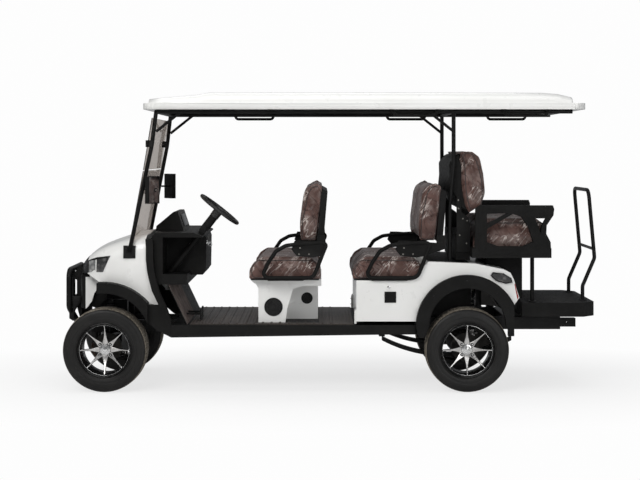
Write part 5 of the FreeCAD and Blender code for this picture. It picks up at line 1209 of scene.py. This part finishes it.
def add_seat_bolts():
    bolts = bmesh.new()
    bolt_row(bolts, RECLINER_BOLTS, RECLINER_Y, SEAT_BOLT)
    for node in ("front_seat_frame", "second_seat_frame"):
        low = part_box(node)[0]
        bolt_row(bolts, shifted(BRACKET_BOLTS, low.x, low.z), low.y + BRACKET_IN, SEAT_BOLT)
    fit("seat_bolts", both(bolts), "rear_seat_base", "zinc", smooth=25)


def add_tray_lines():
    """Raised lines along the rear tray's rim and up its armrests."""
    low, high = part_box("rear_seat_base")
    side = low.y - 0.002
    lines = bmesh.new()
    for z in TRAY_LINES:
        plate(lines, [(TRAY_START, z), (high.x - 0.045, z), (high.x - 0.047, z + 0.005),
                      (TRAY_START, z + 0.005)], side, 0.004, bevel=0.0012)
    for x in ARMREST_LINES:
        plate(lines, oblong(x, ARMREST_LOW, x + 0.006, ARMREST_HIGH), side, 0.004, bevel=0.0012)
    fit("tray_lines", both(lines), "rear_seat_base", "plastic")


def add_footplate_details():
    """Ribs on the footplate, shorter by its cut corners, and flanges at the hoop and struts."""
    low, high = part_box("footplate")
    ribs = bmesh.new()
    for number in range(RIBS):
        y = -RIB_REACH + 2 * RIB_REACH * number / (RIBS - 1)
        trim = max(0.0, abs(y) - RIB_TRIM_START)
        plate(ribs, oblong(low.x + 0.05, y - RIB_HALF, high.x - 0.045 - trim, y + RIB_HALF),
              PLATE_TOP - 0.001, 0.0035, "Z", 0.0012, 1)
    fit("footplate_ribs", ribs, "footplate", "rubber")
    feet = bmesh.new()
    drum(feet, HOOP_FOOT, UPWARD, 0.034, FLANGE_THICK, 32, bevel=0.0015)
    for number in range(FLANGE_BOLTS):
        turn = number * math.tau / FLANGE_BOLTS + 0.5
        place = Vector((math.cos(turn), math.sin(turn), 0)) * FLANGE_BOLT_REACH
        bolt(feet, HOOP_FOOT + place + UPWARD * FLANGE_THICK, UPWARD, 0.0045)
    drum(feet, STRUT_FOOT, UPWARD, 0.03, 0.006, 32, bevel=0.0015)
    fit("hoop_flanges", both(feet), "footplate", "steel", smooth=25)


# Springs, brakes and canopy
SHOCK_HALF = 0.295
SHOCK_LOW = 0.33
COIL_FOOT, COIL_TOP = Vector((1.043, -0.256, 0.37)), Vector((1.08, -0.256, 0.66))
COIL_RADIUS = 0.037
COIL_WIRE = 0.0055
COIL_TURNS = 9
COIL_STEPS = 20
CALIPER = [
    (-1.775, 0.27), (-1.735, 0.225), (-1.71, 0.225), (-1.705, 0.25), (-1.727, 0.285),
    (-1.73, 0.33), (-1.765, 0.335)]
CALIPER_STARTS = {"left": -0.412, "right": 0.372}
CALIPER_WIDE = 0.04
HANDLE_TABS = (-0.776, -0.446, 0.44, 0.77, 1.246, 1.576)
HANDLE_Y = -0.56


def add_coils():
    """Coil springs round the rear shocks."""
    line = COIL_TOP - COIL_FOOT
    side = line.orthogonal().normalized()
    other = line.normalized().cross(side)
    steps = COIL_TURNS * COIL_STEPS
    points = []
    for step in range(steps + 1):
        turn = step * math.tau / COIL_STEPS
        points.append(COIL_FOOT + line * (step / steps)
                      + COIL_RADIUS * (side * math.cos(turn) + other * math.sin(turn)))
    coils = bmesh.new()
    wire(coils, points, COIL_WIRE)
    fit("rear_coils", both(coils), "rear_suspension", "machined")


def add_brakes():
    for hand, start in CALIPER_STARTS.items():
        caliper = plate(bmesh.new(), CALIPER, start, CALIPER_WIDE, bevel=0.006)
        fit(f"brake_caliper_{hand}", caliper, f"knuckle_{hand}", "rust")


def add_canopy_details():
    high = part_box("grab_handles")[1]
    tabs = bmesh.new()
    for x in HANDLE_TABS:
        drum(tabs, (x, HANDLE_Y, high.z - 0.006), UPWARD, 0.021, 0.006, bevel=0.0012)
    fit("handle_tabs", both(tabs), "grab_handles", "plastic")
    bezelled("mirrors", ("plastic", "mirror"), 0.008, lambda face: face.normal.x > 0.75, 0.004)


# The rest of the cart
PLAIN_NODES = {
    "white": ["canopy_roof", "front_seat_pod"],
    "plastic": ["front_fascia", "wheel_arch_flares", "cowl_trim", "steering_column",
                "front_seat_frame", "second_seat_frame", "rear_seat_base",
                "rear_backrest_shell", "footplate", "grab_handles"],
    "steel": ["chassis_frame", "front_suspension", "brush_guard", "rear_grab_bar",
              "canopy_frame", "pedals"],
    "iron": ["knuckle_left", "knuckle_right", "rear_axle", "battery_pack"],
    "machined": ["tie_rod"],
    "mat": ["floor_mat"],
    "cloth": ["speakers"],
    "grip": ["steering_wheel"],
    "glass": ["windscreen"],
}
EDGE = 0.003
OTHER_EDGES = {
    "windscreen": 0, "canopy_roof": 0, "canopy_frame": 0, "brush_guard": 0, "rear_grab_bar": 0,
    "grab_handles": 0, "front_suspension": 0, "floor_mat": 0.001, "speakers": 0.001,
    "footplate": 0.008, "rear_backrest_shell": 0.012}


def dress_nodes():
    """Stand for the plain CAD nodes with the same forms, their edges rounded."""
    for finish, members in PLAIN_NODES.items():
        for node in members:
            stand_in(node, merged(node), (finish,), OTHER_EDGES.get(node, EDGE))


set_camera()
set_sky()
set_floor()
add_lamps()
add_wheels()
add_seats()
add_cowl()
add_headlights()
add_nose_parts()
add_grille()
add_dash()
add_steering()
add_pedal_ribs()
add_floor()
add_speakers()
add_body()
add_lock_and_socket()
add_body_trim()
add_seat_bolts()
add_tray_lines()
add_footplate_details()
zoned("rear_suspension", ("steel", "machined"), [],
      lambda spot, normal: int(abs(spot.y) < SHOCK_HALF and spot.z > SHOCK_LOW))
add_coils()
add_brakes()
add_canopy_details()
dress_nodes()
